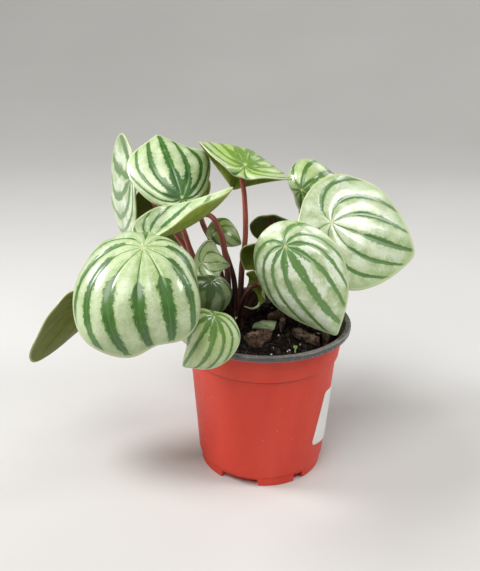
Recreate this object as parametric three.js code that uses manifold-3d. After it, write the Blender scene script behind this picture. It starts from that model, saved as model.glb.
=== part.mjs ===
// A potted watermelon peperomia: twenty-one shield-shaped leaves on long stalks,
// grown from one crown, in a red nursery pot with a black rim and loose bark on its soil.
// Millimetres, +Z up. The origin is on the table, under the middle of the pot's foot.
// The plant's front is towards -Y and its right towards +X.

import * as THREE from "three";
import { mergeVertices } from "three/addons/utils/BufferGeometryUtils.js";
import Module from "manifold-3d";

const wasm = await Module();
wasm.setup();

// Clearances and fineness
const GAP = 0.3;
const POT_FACETS = 60;
const WELD = 1e-4;

// The red pot: a foot ring, a tapered wall, one step out, then a straighter band
const FOOT_RADIUS = 39.4;
const FOOT_HEIGHT = 6.2;
const WALL_LOW_RADIUS = 40.6;
const WALL_HIGH_RADIUS = 46;
const BAND_BOTTOM = 77;
const BAND_LOW_RADIUS = 47.5;
const BAND_HIGH_RADIUS = 49.6;
const POT_TOP = 93.1;
const POT_WALL = 0.9;
const POT_FLOOR = 1.5;
const HEEL_RADIUS = 30;
const HEEL_HEIGHT = 13;

// Drainage notches under the foot, each from one angle to another, in degrees from the front
const NOTCHES = [[-40, -3], [30, 41], [78, 115], [151, 162], [198, 235], [271, 282]];
const NOTCH_INNER_RADIUS = 35.5;
const NOTCH_HEIGHT = 4.5;

// The black rim: a flat lip outside and a thin skirt inside the pot's wall
const RIM_BOTTOM = 93.4;
const RIM_TOP = 96.6;
const RIM_RADIUS = 54;
const RIM_MOUTH_RADIUS = 50.9;
const SKIRT_BOTTOM = 78;
const SKIRT_WALL = 0.75;

// The soil, its uneven top and the hole that the crown stands in
const SOIL_LEVEL = 88;
const SOIL_RADIUS = 46.5;
const SOIL_RINGS = [8, 16, 24, 31, 38, 43];
const SOIL_SECTORS = 40;
const CROWN = new THREE.Vector3(-18, 12, 88);
const CROWN_RADIUS = 7;
const CROWN_BOTTOM = 78;
const CROWN_PROFILE = [
  [0, CROWN_BOTTOM], [5, CROWN_BOTTOM], [CROWN_RADIUS, 82], [CROWN_RADIUS, 88],
  [5.5, 92], [2.5, 94.5], [0, 95],
];
const CROWN_FACETS = 12;
const CROWN_HOLE_RADIUS = 7.9;

// The blank label: centre as angle and height, size, corner radius and lean. The shell that
// it is cut from reaches further up and down than its leaning corners.
const LABEL_ANGLE = 85;
const LABEL_HEIGHT = 35;
const LABEL_SIZE = [50, 37];
const LABEL_CORNER = 3;
const LABEL_LEAN = -13;
const LABEL_THICKNESS = 0.4;
const LABEL_REACH = 33;

// Leaf blades and stalks
const BLADE_THICKNESS = 1.2;
const BLADE_FINENESS = [
  { over: 60, spokes: 24, rings: [0.3, 0.55, 0.75, 0.9, 1] },
  { over: 40, spokes: 18, rings: [0.35, 0.65, 0.87, 1] },
  { over: 0, spokes: 14, rings: [0.4, 0.75, 1] },
];
const TIP_NARROWING = 6;
const STALK_ROOT_RADIUS = 1.9;
const STALK_END_RADIUS = 1.35;
const STALK_SIDES = 6;
const STALK_STEP = 7;
const STALK_ROOT_OFFSET = 3.5;
const STALK_APPROACH = 7;

// Colours
const LEAF_GREEN = 0x9fbf86;
const YOUNG_GREEN = 0x86a85a;
const STALK_RED = 0x7a3a30;
const POT_RED = 0xb8402f;
const RIM_BLACK = 0x26262a;
const SOIL_BROWN = 0x241a15;
const BARK_BROWN = 0x6b4a38;
const LABEL_WHITE = 0xf2f2ee;

// Each leaf. at: where the stalk meets the blade. facing: the compass angle and the height
// angle that its upper side faces, then the turn of its tip from straight downhill.
// attach: share of the length that lies behind the stalk. full: extra width behind it.
// point: how sharply the tip narrows. bend: how far the margin curls down, in degrees, as
// [all round, tip less back, ends less sides, right less left, skew]; curl puts it near the
// margin when high. bumps: angle, height and width of a swelling or dent in the outline.
// wave: height, count and phase of the margin's ripple. stalk: points on its way up.
const LEAVES = [
  {
    name: "leaf_front_left", at: [-65, -54, 159.7], facing: [-90, 63, 6], length: 81, width: 80,
    attach: 0.21, full: 0.05, point: 0.19, curl: 1.7, bend: [64, 23, 3, 16, -8],
    bumps: [[8, -0.1, 28], [-68, 0.15, 40], [98, -0.18, 28], [146, -0.02, 23]], wave: [0.8, 9, 0],
    stalk: [[-30, 6, 106], [-54, -6, 120], [-67, -38, 142]],
  },
  {
    name: "leaf_upper_left", at: [-50.5, 14, 168.7], facing: [-80, 29, 194], length: 62, width: 49,
    attach: 0.12, full: 0.02, point: 0.77, curl: 1, bend: [32, 11, 3, -10, -2],
    bumps: [[-90, 0.24, 21], [79, 0.14, 33], [167, -0.17, 33]], wave: [0.6, 7, 40],
    stalk: [[-45, 20, 130], [-50, 22, 144], [-55, 28, 157]],
  },
  {
    name: "leaf_far_left", at: [-84.9, 38, 175], facing: [-152, 10, -62], length: 57, width: 67,
    attach: 0.13, full: 0.24, point: 0.28, curl: 1, bend: [5, 1, 4, 5, 3],
    bumps: [[58, 0.08, 20], [-68, -0.09, 20]], wave: [0.6, 7, 0],
    stalk: [[-44, 24, 126], [-57, 26, 144], [-70, 33, 160]],
  },
  {
    name: "leaf_folded", at: [-64.6, -19, 154.8], facing: [109, 83, -82], length: 70, width: 49,
    attach: 0.17, full: 0.22, point: 0.48, curl: 0.9, bend: [-40, -24, 16, -24, 20],
    bumps: [[72, -0.06, 26], [122, -0.15, 20]], wave: [0.5, 6, 0],
    stalk: [[-30, 3, 112], [-50, -12, 131], [-61, -19, 145]],
  },
  {
    name: "leaf_top", at: [-13, 17, 188.4], facing: [-65, 49, 145], length: 72, width: 69,
    attach: 0.12, full: 0.05, point: 0.47, curl: 1.3, bend: [48, 69, 53, 7, -2],
    bumps: [[63, 0.03, 26], [157, 0.09, 23], [96, 0.05, 26]], wave: [0.5, 6, 60],
    stalk: [[-14, 14, 124], [-12, 17, 145], [-13, 19, 170]],
  },
  {
    name: "leaf_low_left", at: [-112, -5, 106], facing: [120, 20, 33], length: 67, width: 49,
    attach: 0.24, full: 0.23, point: 0.2, curl: 1, bend: [14, -18, 0, 28, 19],
    bumps: [], wave: [0.6, 7, 0],
    stalk: [[-42, 6, 110], [-76, -8, 115], [-102, -18, 108]],
  },
  {
    name: "leaf_over_rim", at: [-29, -54, 121], facing: [-37, 39, -40], length: 49, width: 38,
    attach: 0.2, full: 0.1, point: 0.59, curl: 1, bend: [67, 7, 37, -35, -8],
    bumps: [[59, 0.03, 29], [-45, -0.21, 27]], wave: [0.5, 7, 0],
    stalk: [[-21, -14, 102], [-31, -38, 109]],
  },
  {
    name: "leaf_low_front", at: [-31, -29, 131.8], facing: [-70, 42, -15], length: 35, width: 34,
    attach: 0.23, full: 0.21, point: 0.43, curl: 1, bend: [73, -1, 12, 1, 7],
    bumps: [[64, 0.04, 25]], wave: [0.4, 6, 0],
    stalk: [[-23, 0, 106], [-32, -17, 119]],
  },
  {
    name: "leaf_small_front", at: [-37.4, -9, 135.4], facing: [-61, 29, 81], length: 28, width: 23,
    attach: 0.19, full: 0.27, point: 0.8, curl: 1, bend: [8, 6, 23, -6, 18],
    bumps: [[105, 0.21, 27], [-57, -0.22, 28]], wave: [0.4, 6, 0],
    stalk: [[-27, 9, 108], [-41, 2, 124]],
  },
  {
    name: "leaf_small_middle", at: [-29, 27, 146], facing: [-82, 45, 64], length: 27, width: 20,
    attach: 0.3, full: 0.2, point: 0.55, curl: 1, bend: [34, 0, 20, 7, 0],
    bumps: [], wave: [0.4, 6, 0],
    stalk: [[-19, 26, 112], [-27, 34, 134]],
  },
  {
    name: "leaf_young_upper", at: [-4, 6, 139], facing: [95, 33, 39], length: 25, width: 24,
    attach: 0.39, full: 0.18, point: 0.5, curl: 1, bend: [40, 10, 8, -6, -5],
    bumps: [], wave: [0.4, 6, 0], young: true,
    stalk: [[-10, 10, 109], [-4, 3, 127]],
  },
  {
    name: "leaf_front_right", at: [10, -25, 152], facing: [-90, 29, 33], length: 78, width: 57,
    attach: 0.2, full: 0.22, point: 0.68, curl: 1, bend: [48, 5, -13, -13, -7],
    bumps: [[-53, -0.03, 27]], wave: [0.5, 7, 20],
    stalk: [[-3, 9, 116], [8, -8, 138]],
  },
  {
    name: "leaf_young_lower", at: [-3, -4, 121], facing: [26, 12, 15], length: 26, width: 20,
    attach: 0.4, full: 0.17, point: 0.5, curl: 1, bend: [27, -11, -11, 6, -8],
    bumps: [], wave: [1, 5, 0], young: true,
    stalk: [[-14, 2, 104], [-11, -6, 115]],
  },
  {
    name: "leaf_right", at: [39, 5, 157], facing: [-70, 38, 67], length: 80, width: 74,
    attach: 0.25, full: 0.2, point: 0.5, curl: 1, bend: [12, 1, 0, -4, -2],
    bumps: [[60, 0.04, 27]], wave: [0.6, 9, 0],
    stalk: [[2, 18, 114], [28, 20, 140]],
  },
  {
    name: "leaf_back_right", at: [24, 46, 167], facing: [-102, 19, 114], length: 51, width: 47,
    attach: 0.2, full: 0.17, point: 0.45, curl: 1, bend: [70, -5, 27, 4, 5],
    bumps: [], wave: [0.5, 7, 0],
    stalk: [[10, 34, 119], [25, 51, 146], [24, 55, 160]],
  },
  {
    name: "leaf_behind_left", at: [-68.5, 52, 148.6], facing: [135, -12, 8], length: 53, width: 44,
    attach: 0.4, full: 0.21, point: 0.55, curl: 1, bend: [31, 17, 39, 1, 13],
    bumps: [], wave: [0.5, 6, 0],
    stalk: [[-24, 16, 129], [-28, 20, 147], [-34, 25, 155], [-46, 30, 154]],
  },
  {
    name: "leaf_back_middle", at: [5, 44, 148], facing: [85, 40, 0], length: 34, width: 30,
    attach: 0.3, full: 0.2, point: 0.5, curl: 1, bend: [40, 0, 0, 0, 0],
    bumps: [], wave: [0.4, 6, 0],
    stalk: [[-6, 30, 114], [3, 37, 137]],
  },
  {
    name: "leaf_back_left", at: [-55, 70, 168], facing: [115, 40, 10], length: 50, width: 45,
    attach: 0.28, full: 0.15, point: 0.4, curl: 1, bend: [40, 5, 5, 0, 0],
    bumps: [], wave: [0.6, 7, 0],
    stalk: [[-32, 26, 134], [-39, 37, 145], [-47, 60, 159]],
  },
  {
    name: "leaf_rear_right", at: [58, 62, 133], facing: [55, 40, -15], length: 56, width: 50,
    attach: 0.28, full: 0.15, point: 0.4, curl: 1, bend: [40, 5, 5, 0, 0],
    bumps: [], wave: [0.6, 7, 0],
    stalk: [[12, 28, 110], [46, 50, 122]],
  },
  {
    name: "leaf_rear_middle", at: [24, 64, 118], facing: [75, 35, 10], length: 46, width: 42,
    attach: 0.28, full: 0.15, point: 0.4, curl: 1, bend: [45, 5, 5, 0, 0],
    bumps: [], wave: [0.6, 7, 0],
    stalk: [[-2, 36, 106], [20, 55, 110]],
  },
  {
    name: "leaf_rear_left", at: [-63, 52, 110], facing: [130, 45, -10], length: 50, width: 44,
    attach: 0.28, full: 0.15, point: 0.4, curl: 1, bend: [45, 5, 5, 0, 0],
    bumps: [], wave: [0.6, 7, 0],
    stalk: [[-34, 28, 108], [-56, 46, 104]],
  },
];

// Loose pieces on the soil, as outlines in x and y with a bottom and a top height
const SCRAPS = [
  {
    name: "bark_chip_front", bottom: 87.3, top: 91, color: BARK_BROWN,
    outline: [
      [-12.6, -14.5], [-8, -23], [-3, -24], [1.4, -19], [4.4, -11.8], [5.6, -5.8], [1, -2.6], [-8.7, -8.3],
    ],
  },
  {
    name: "bark_chip_back", bottom: 87.3, top: 90.5, color: BARK_BROWN,
    outline: [[3, 19], [4.2, 14.2], [10.8, 15.8], [14, 24], [10.6, 27.4], [7, 25]],
  },
  {
    name: "bark_chip_middle", bottom: 87.3, top: 92, color: BARK_BROWN,
    outline: [[11.2, -2.7], [13.4, 4], [14.6, 11], [12.3, 13.6], [11, 10.5], [10, 3]],
  },
  {
    name: "bark_chip_right", bottom: 87.3, top: 91, color: BARK_BROWN,
    outline: [
      [17.8, -2.4], [18.8, -8.9], [23.6, -16.2], [32.6, -21.5], [33.8, -14], [27.1, -7.3], [22.5, -2.3],
    ],
  },
  {
    name: "bark_chip_edge", bottom: 87.3, top: 91.5, color: BARK_BROWN,
    outline: [[35.6, -19.4], [37.4, -20.6], [39.6, -13.3], [38.2, -7], [35.4, -9.9]],
  },
  {
    name: "cut_leaf_piece", bottom: 88.6, top: 89.6, color: YOUNG_GREEN,
    outline: [[-7.2, 1], [2.5, 0], [6.3, -3], [9.2, 11.2], [0, 12.2], [-5.2, 7.7]],
  },
];
const SEAT_MARGIN = 0.8;
const SPROUT = { at: [18, -28.4], bottom: 86, neck: 89, shoulder: 90.5, top: 91.5, radius: 1.4, stem: 0.84 };

const radians = THREE.MathUtils.degToRad;
const plant = new THREE.Group();

// Give a finished shape its name and its own material.
function add(name, geometry, color, roughness, metalness = 0) {
  const mesh = new THREE.Mesh(geometry, new THREE.MeshStandardMaterial({ color, roughness, metalness }));
  mesh.name = name;
  plant.add(mesh);
}

// A closed surface as a solid that can be joined and cut.
function solidOf(geometry) {
  const bare = geometry.clone();
  bare.deleteAttribute("normal");
  bare.deleteAttribute("uv");
  const welded = mergeVertices(bare, WELD);
  const corners = welded.index.array;
  const triangles = [];
  for (let i = 0; i < corners.length; i += 3) {
    const [a, b, c] = [corners[i], corners[i + 1], corners[i + 2]];
    if (a !== b && b !== c && c !== a) triangles.push(a, b, c);
  }
  const vertProperties = Float32Array.from(welded.attributes.position.array);
  const triVerts = Uint32Array.from(triangles);
  return new wasm.Manifold(new wasm.Mesh({ numProp: 3, vertProperties, triVerts }));
}

// A solid as a surface again.
function surfaceOf(solid) {
  const mesh = solid.getMesh();
  return indexed(mesh.vertProperties, mesh.triVerts);
}

function indexed(positions, triangles) {
  const geometry = new THREE.BufferGeometry();
  geometry.setAttribute("position", new THREE.BufferAttribute(Float32Array.from(positions), 3));
  geometry.setIndex(Array.from(triangles));
  geometry.computeVertexNormals();
  return geometry;
}

// A profile of [radius, height] points turned about the Z axis.
function turned(profile, facets = POT_FACETS) {
  const points = profile.map(([radius, height]) => new THREE.Vector2(radius, height));
  return new THREE.LatheGeometry(points, facets).rotateX(Math.PI / 2);
}

// An outline in x and y, raised from one height to another.
function slab(outline, bottom, top) {
  const shape = new THREE.Shape(outline.map(([x, y]) => new THREE.Vector2(x, y)));
  const raised = new THREE.ExtrudeGeometry(shape, { depth: top - bottom, bevelEnabled: false });
  return raised.translate(0, 0, bottom);
}

// An upright round block, for holes.
function post(x, y, radius, bottom, top, facets) {
  const block = new THREE.CylinderGeometry(radius, radius, top - bottom, facets);
  return block.rotateX(Math.PI / 2).translate(x, y, (bottom + top) / 2);
}

// Radius of the red pot's outside at a height on its tapered wall.
function wallRadius(height) {
  const share = (height - FOOT_HEIGHT) / (BAND_BOTTOM - FOOT_HEIGHT);
  return WALL_LOW_RADIUS + (WALL_HIGH_RADIUS - WALL_LOW_RADIUS) * share;
}

// Radius of the inside of the black skirt at a height.
function skirtRadius(height) {
  const share = (height - SKIRT_BOTTOM) / (POT_TOP - SKIRT_BOTTOM);
  const low = BAND_LOW_RADIUS - POT_WALL - GAP - SKIRT_WALL;
  const high = BAND_HIGH_RADIUS - POT_WALL - GAP - SKIRT_WALL;
  return low + (high - low) * share;
}

// The pot, one thin-walled moulding with a thick heel and notches under its foot.
function pot() {
  const profile = [
    [0, 0], [FOOT_RADIUS, 0], [FOOT_RADIUS, FOOT_HEIGHT], [WALL_LOW_RADIUS, FOOT_HEIGHT + 0.8],
    [wallRadius(BAND_BOTTOM - 2), BAND_BOTTOM - 2], [WALL_HIGH_RADIUS + 0.1, BAND_BOTTOM - 0.8],
    [BAND_LOW_RADIUS, BAND_BOTTOM + 0.2], [BAND_HIGH_RADIUS, POT_TOP],
    [BAND_HIGH_RADIUS - POT_WALL, POT_TOP], [BAND_LOW_RADIUS - POT_WALL, BAND_BOTTOM + 0.2],
    [wallRadius(BAND_BOTTOM - 2) - POT_WALL, BAND_BOTTOM - 1],
    [wallRadius(HEEL_HEIGHT) - POT_WALL, HEEL_HEIGHT], [HEEL_RADIUS, POT_FLOOR], [0, POT_FLOOR],
  ];
  let solid = solidOf(turned(profile));
  for (const [from, to] of NOTCHES) {
    const shape = new THREE.Shape();
    const [start, end] = [radians(from - 90), radians(to - 90)];
    shape.absarc(0, 0, FOOT_RADIUS + 2, start, end, false);
    shape.absarc(0, 0, NOTCH_INNER_RADIUS, end, start, true);
    const depth = NOTCH_HEIGHT + 1;
    const cut = new THREE.ExtrudeGeometry(shape, { depth, bevelEnabled: false, curveSegments: 6 });
    solid = solid.subtract(solidOf(cut.translate(0, 0, -1)));
  }
  return surfaceOf(solid);
}

// The black ring: it rests on the pot's top edge and hangs inside its band.
function rim() {
  const bandInside = BAND_HIGH_RADIUS - POT_WALL - GAP;
  return turned([
    [skirtRadius(SKIRT_BOTTOM), SKIRT_BOTTOM], [skirtRadius(SKIRT_BOTTOM) + SKIRT_WALL, SKIRT_BOTTOM],
    [bandInside, RIM_BOTTOM], [RIM_RADIUS - 0.3, RIM_BOTTOM], [RIM_RADIUS, RIM_BOTTOM + 0.4],
    [RIM_RADIUS, RIM_TOP - 0.8], [RIM_RADIUS - 0.8, RIM_TOP], [RIM_MOUTH_RADIUS, RIM_TOP],
    [RIM_MOUTH_RADIUS - 0.8, RIM_TOP - 0.7], [skirtRadius(RIM_BOTTOM), RIM_BOTTOM - 0.2],
    [skirtRadius(SKIRT_BOTTOM), SKIRT_BOTTOM],
  ]);
}

// Height of the soil's uneven top above or below its level.
function relief(x, y) {
  return 0.7 * Math.sin(x / 5.3 + 1) * Math.cos(y / 4.7) + 0.5 * Math.sin((x - y) / 3.1);
}

// The root ball: it follows the pot's inside and fills it to the soil's level.
function rootBall() {
  const innerWall = wallRadius(BAND_BOTTOM - 2) - POT_WALL - GAP;
  const side = [
    [skirtRadius(SKIRT_BOTTOM) - GAP, SKIRT_BOTTOM + 1], [innerWall, BAND_BOTTOM - 1],
    [wallRadius(HEEL_HEIGHT) - POT_WALL - GAP, HEEL_HEIGHT + GAP], [HEEL_RADIUS - GAP, POT_FLOOR + GAP],
  ];
  const levels = [];
  for (const radius of [...SOIL_RINGS, SOIL_RADIUS]) levels.push({ radius, height: SOIL_LEVEL, rough: 1 });
  for (const [radius, height] of side) levels.push({ radius, height, rough: 0 });

  const positions = [0, 0, SOIL_LEVEL + relief(0, 0)];
  for (const { radius, height, rough } of levels) {
    for (let sector = 0; sector < SOIL_SECTORS; sector += 1) {
      const angle = (sector / SOIL_SECTORS) * 2 * Math.PI;
      const [x, y] = [radius * Math.cos(angle), radius * Math.sin(angle)];
      positions.push(x, y, height + rough * relief(x, y));
    }
  }
  const last = positions.length / 3;
  positions.push(0, 0, POT_FLOOR + GAP);

  const triangles = [];
  const corner = (level, sector) => 1 + level * SOIL_SECTORS + (sector % SOIL_SECTORS);
  for (let sector = 0; sector < SOIL_SECTORS; sector += 1) {
    triangles.push(0, corner(0, sector), corner(0, sector + 1));
    for (let level = 0; level + 1 < levels.length; level += 1) {
      const [a, b] = [corner(level, sector), corner(level, sector + 1)];
      const [c, d] = [corner(level + 1, sector + 1), corner(level + 1, sector)];
      triangles.push(a, d, c, a, c, b);
    }
    triangles.push(last, corner(levels.length - 1, sector + 1), corner(levels.length - 1, sector));
  }
  return indexed(positions, triangles);
}

// An outline moved out from its middle by a margin.
function grown(outline, margin) {
  const middle = [0, 1].map((axis) => outline.reduce((sum, point) => sum + point[axis], 0) / outline.length);
  return outline.map(([x, y]) => {
    const reach = Math.hypot(x - middle[0], y - middle[1]);
    return [x + ((x - middle[0]) / reach) * margin, y + ((y - middle[1]) / reach) * margin];
  });
}

// The soil, with a hole for the crown, one for the sprout and a seat for each loose piece.
function soil() {
  const high = SOIL_LEVEL + 10;
  const hole = post(CROWN.x, CROWN.y, CROWN_HOLE_RADIUS, CROWN_BOTTOM - GAP, high, 16);
  const sproutHole = post(...SPROUT.at, SPROUT.radius + GAP, SPROUT.bottom - GAP, high, 12);
  let solid = solidOf(rootBall()).subtract(solidOf(hole)).subtract(solidOf(sproutHole));
  for (const scrap of SCRAPS) {
    const seat = slab(grown(scrap.outline, SEAT_MARGIN), scrap.bottom - GAP, high);
    solid = solid.subtract(solidOf(seat));
  }
  return surfaceOf(solid);
}

// The label: a thin shell round the wall, kept where a leaning rounded card would cover it.
function label() {
  const [low, high] = [LABEL_HEIGHT - LABEL_REACH, LABEL_HEIGHT + LABEL_REACH];
  const outside = GAP + LABEL_THICKNESS;
  const shell = turned([
    [wallRadius(low) + GAP, low], [wallRadius(low) + outside, low],
    [wallRadius(high) + outside, high], [wallRadius(high) + GAP, high], [wallRadius(low) + GAP, low],
  ]);
  const [width, height] = LABEL_SIZE;
  const [x, y] = [width / 2 - LABEL_CORNER, height / 2 - LABEL_CORNER];
  const card = new THREE.Shape();
  card.absarc(x, y, LABEL_CORNER, 0, Math.PI / 2, false);
  card.absarc(-x, y, LABEL_CORNER, Math.PI / 2, Math.PI, false);
  card.absarc(-x, -y, LABEL_CORNER, Math.PI, Math.PI * 1.5, false);
  card.absarc(x, -y, LABEL_CORNER, Math.PI * 1.5, Math.PI * 2, false);
  const depth = RIM_RADIUS;
  const block = new THREE.ExtrudeGeometry(card, { depth, bevelEnabled: false, curveSegments: 5 });
  block.rotateZ(radians(LABEL_LEAN)).rotateX(Math.PI / 2);
  block.rotateZ(radians(LABEL_ANGLE)).translate(0, 0, LABEL_HEIGHT);
  return surfaceOf(solidOf(shell).intersect(solidOf(block)));
}

// A leaf's own directions: x towards its tip, y across, normal out of its upper side.
function leafAxes({ facing }) {
  const [compass, height, turn] = facing.map(radians);
  const [level, rise] = [Math.cos(height), Math.sin(height)];
  const normal = new THREE.Vector3(level * Math.cos(compass), level * Math.sin(compass), rise);
  const downhill = new THREE.Vector3(rise * Math.cos(compass), rise * Math.sin(compass), -level);
  const sideways = new THREE.Vector3().crossVectors(normal, downhill);
  const x = downhill.multiplyScalar(Math.cos(turn)).addScaledVector(sideways, Math.sin(turn));
  const y = new THREE.Vector3().crossVectors(normal, x);
  return { x, y, normal };
}

// The flat outline of a leaf round its stalk: a heart with a full back and a narrowed tip.
function outlinePoint(leaf, turn) {
  const ahead = (1 + Math.cos(turn)) / 2;
  const narrowed = 1 - leaf.point * ahead ** TIP_NARROWING;
  const x = leaf.length * (ahead - leaf.attach);
  const y = (leaf.width / 2) * Math.sin(turn) * (1 - leaf.full * Math.cos(turn)) * narrowed;
  let swell = 1;
  for (const [angle, rise, spread] of leaf.bumps) {
    const away = THREE.MathUtils.euclideanModulo(THREE.MathUtils.radToDeg(turn) - angle + 180, 360) - 180;
    swell *= 1 + rise * Math.exp(-((away / spread) ** 2));
  }
  return [x * swell, y * swell];
}

// A point of the blade's middle surface: `turn` goes round it and `share` from stalk to margin.
// Each line from the stalk bends down as an arc whose angle grows towards the margin.
function bladePoint(leaf, turn, share) {
  const [x, y] = outlinePoint(leaf, turn);
  const reach = Math.hypot(x, y);
  const angle = Math.atan2(y, x);
  const [all, tip, ends, right, skew] = leaf.bend;
  const once = tip * Math.cos(angle) + right * Math.sin(angle);
  const twice = ends * Math.cos(2 * angle) + skew * Math.sin(2 * angle);
  const bend = radians(all + once + twice);
  const steps = 10;
  let [out, drop] = [0, 0];
  for (let step = 0; step < steps; step += 1) {
    const slope = bend * ((share * (step + 0.5)) / steps) ** leaf.curl;
    out += (reach * share * Math.cos(slope)) / steps;
    drop += (reach * share * Math.sin(slope)) / steps;
  }
  const [rippleHeight, ripples, phase] = leaf.wave;
  const ripple = rippleHeight * share ** 3 * Math.sin(ripples * angle + radians(phase));
  return new THREE.Vector3(out * Math.cos(angle), out * Math.sin(angle), ripple - drop);
}

// The upward direction at a point of the blade, from its slopes along and across a spoke.
function bladeNormal(leaf, turn, share) {
  const [turnStep, shareStep] = [0.03, 0.01];
  const across = bladePoint(leaf, turn + turnStep, share).sub(bladePoint(leaf, turn - turnStep, share));
  const along = bladePoint(leaf, turn, share + shareStep).sub(bladePoint(leaf, turn, share - shareStep));
  return along.cross(across).normalize();
}

// The blade: an upper and a lower face of rings and spokes, split alike, joined at the margin.
function blade(leaf) {
  const { spokes, rings } = BLADE_FINENESS.find(({ over }) => leaf.length > over);
  const { x, y, normal } = leafAxes(leaf);
  const frame = new THREE.Matrix4().makeBasis(x, y, normal).setPosition(...leaf.at);
  const positions = [];
  for (const side of [1, -1]) {
    const offset = (side * BLADE_THICKNESS) / 2;
    positions.push(...new THREE.Vector3(0, 0, offset).applyMatrix4(frame));
    for (const share of rings) {
      for (let spoke = 0; spoke < spokes; spoke += 1) {
        const turn = (spoke / spokes) * 2 * Math.PI;
        const point = bladePoint(leaf, turn, share);
        point.addScaledVector(bladeNormal(leaf, turn, share), offset);
        positions.push(...point.applyMatrix4(frame));
      }
    }
  }
  const under = 1 + rings.length * spokes;
  const corner = (ring, spoke) => 1 + ring * spokes + (spoke % spokes);
  const faces = [];
  for (let spoke = 0; spoke < spokes; spoke += 1) {
    faces.push([0, corner(0, spoke), corner(0, spoke + 1)]);
    for (let ring = 0; ring + 1 < rings.length; ring += 1) {
      const [a, b] = [corner(ring, spoke), corner(ring, spoke + 1)];
      const [c, d] = [corner(ring + 1, spoke + 1), corner(ring + 1, spoke)];
      faces.push([a, d, c], [a, c, b]);
    }
  }
  const triangles = faces.flatMap(([a, b, c]) => [a, b, c, a + under, c + under, b + under]);
  for (let spoke = 0; spoke < spokes; spoke += 1) {
    const [a, b] = [corner(rings.length - 1, spoke), corner(rings.length - 1, spoke + 1)];
    triangles.push(a, a + under, b + under, a, b + under, b);
  }
  return indexed(positions, triangles);
}

// How far the blade's lower face falls at the stalk's edge, so that the stalk's end clears it.
function fallAtStalk(leaf) {
  const { rings } = BLADE_FINENESS.find(({ over }) => leaf.length > over);
  let steepest = 0;
  for (let degrees = 0; degrees < 360; degrees += 15) {
    const { x, y, z } = bladePoint(leaf, radians(degrees), rings[0]);
    steepest = Math.max(steepest, -z / Math.hypot(x, y));
  }
  return steepest * STALK_END_RADIUS;
}

// The stalk's middle line, from inside the crown to just under its blade.
function stalkPath(leaf) {
  const { normal } = leafAxes(leaf);
  const at = new THREE.Vector3(...leaf.at);
  const points = leaf.stalk.map((point) => new THREE.Vector3(...point));
  const lean = points[0].clone().sub(CROWN).setZ(0).normalize();
  const root = CROWN.clone().addScaledVector(lean, STALK_ROOT_OFFSET);
  const seat = BLADE_THICKNESS / 2 + GAP + fallAtStalk(leaf);
  const approach = at.clone().addScaledVector(normal, -STALK_APPROACH);
  const end = at.clone().addScaledVector(normal, -seat);
  return new THREE.CatmullRomCurve3([root, ...points, approach, end], false, "centripetal");
}

// A round bar along a path, thinning from its root to its end, closed at both.
function bar(path, rootRadius, endRadius, sides, step) {
  const steps = Math.ceil(path.getLength() / step);
  const { normals, binormals } = path.computeFrenetFrames(steps, false);
  const positions = [];
  for (let i = 0; i <= steps; i += 1) {
    const middle = path.getPointAt(i / steps);
    const radius = rootRadius + (endRadius - rootRadius) * (i / steps);
    for (let side = 0; side < sides; side += 1) {
      const angle = (side / sides) * 2 * Math.PI;
      const point = middle.clone().addScaledVector(normals[i], radius * Math.cos(angle));
      positions.push(...point.addScaledVector(binormals[i], radius * Math.sin(angle)));
    }
  }
  const [first, last] = [positions.length / 3, positions.length / 3 + 1];
  positions.push(...path.getPointAt(0), ...path.getPointAt(1));
  const corner = (i, side) => i * sides + (side % sides);
  const triangles = [];
  for (let side = 0; side < sides; side += 1) {
    triangles.push(first, corner(0, side + 1), corner(0, side));
    triangles.push(last, corner(steps, side), corner(steps, side + 1));
    for (let i = 0; i < steps; i += 1) {
      const [a, b] = [corner(i, side), corner(i, side + 1)];
      const [c, d] = [corner(i + 1, side + 1), corner(i + 1, side)];
      triangles.push(a, b, c, a, c, d);
    }
  }
  return indexed(positions, triangles);
}

// The crown and every stalk, grown as one piece.
function stalks() {
  const knob = turned(CROWN_PROFILE, CROWN_FACETS).translate(CROWN.x, CROWN.y, 0);
  let solid = solidOf(knob);
  for (const leaf of LEAVES) {
    const stalk = bar(stalkPath(leaf), STALK_ROOT_RADIUS, STALK_END_RADIUS, STALK_SIDES, STALK_STEP);
    solid = solid.add(solidOf(stalk));
  }
  return surfaceOf(solid);
}

// A seedling's short shoot.
function sprout() {
  const { at, bottom, neck, shoulder, top, radius, stem } = SPROUT;
  const profile = [[0, bottom], [stem, bottom], [stem, neck], [radius, shoulder], [0, top]];
  return turned(profile, 10).translate(...at, 0);
}

add("pot", pot(), POT_RED, 0.5);
add("rim", rim(), RIM_BLACK, 0.35);
add("soil", soil(), SOIL_BROWN, 1);
add("label", label(), LABEL_WHITE, 0.4);
add("stalks", stalks(), STALK_RED, 0.45);
for (const leaf of LEAVES) add(leaf.name, blade(leaf), leaf.young ? YOUNG_GREEN : LEAF_GREEN, 0.4);
for (const { name, outline, bottom, top, color } of SCRAPS) add(name, slab(outline, bottom, top), color, 0.9);
add("sprout", sprout(), YOUNG_GREEN, 0.5);

export default plant;
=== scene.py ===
"""A potted watermelon peperomia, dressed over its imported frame.

Sizes are millimetres, as on the real plant, and become metres where a mesh is made.
The front of the plant faces -Y, and +Z is up.
"""
import math

import bmesh
import bpy
import numpy as np
from mathutils import Euler, Matrix, Vector, noise


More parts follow.
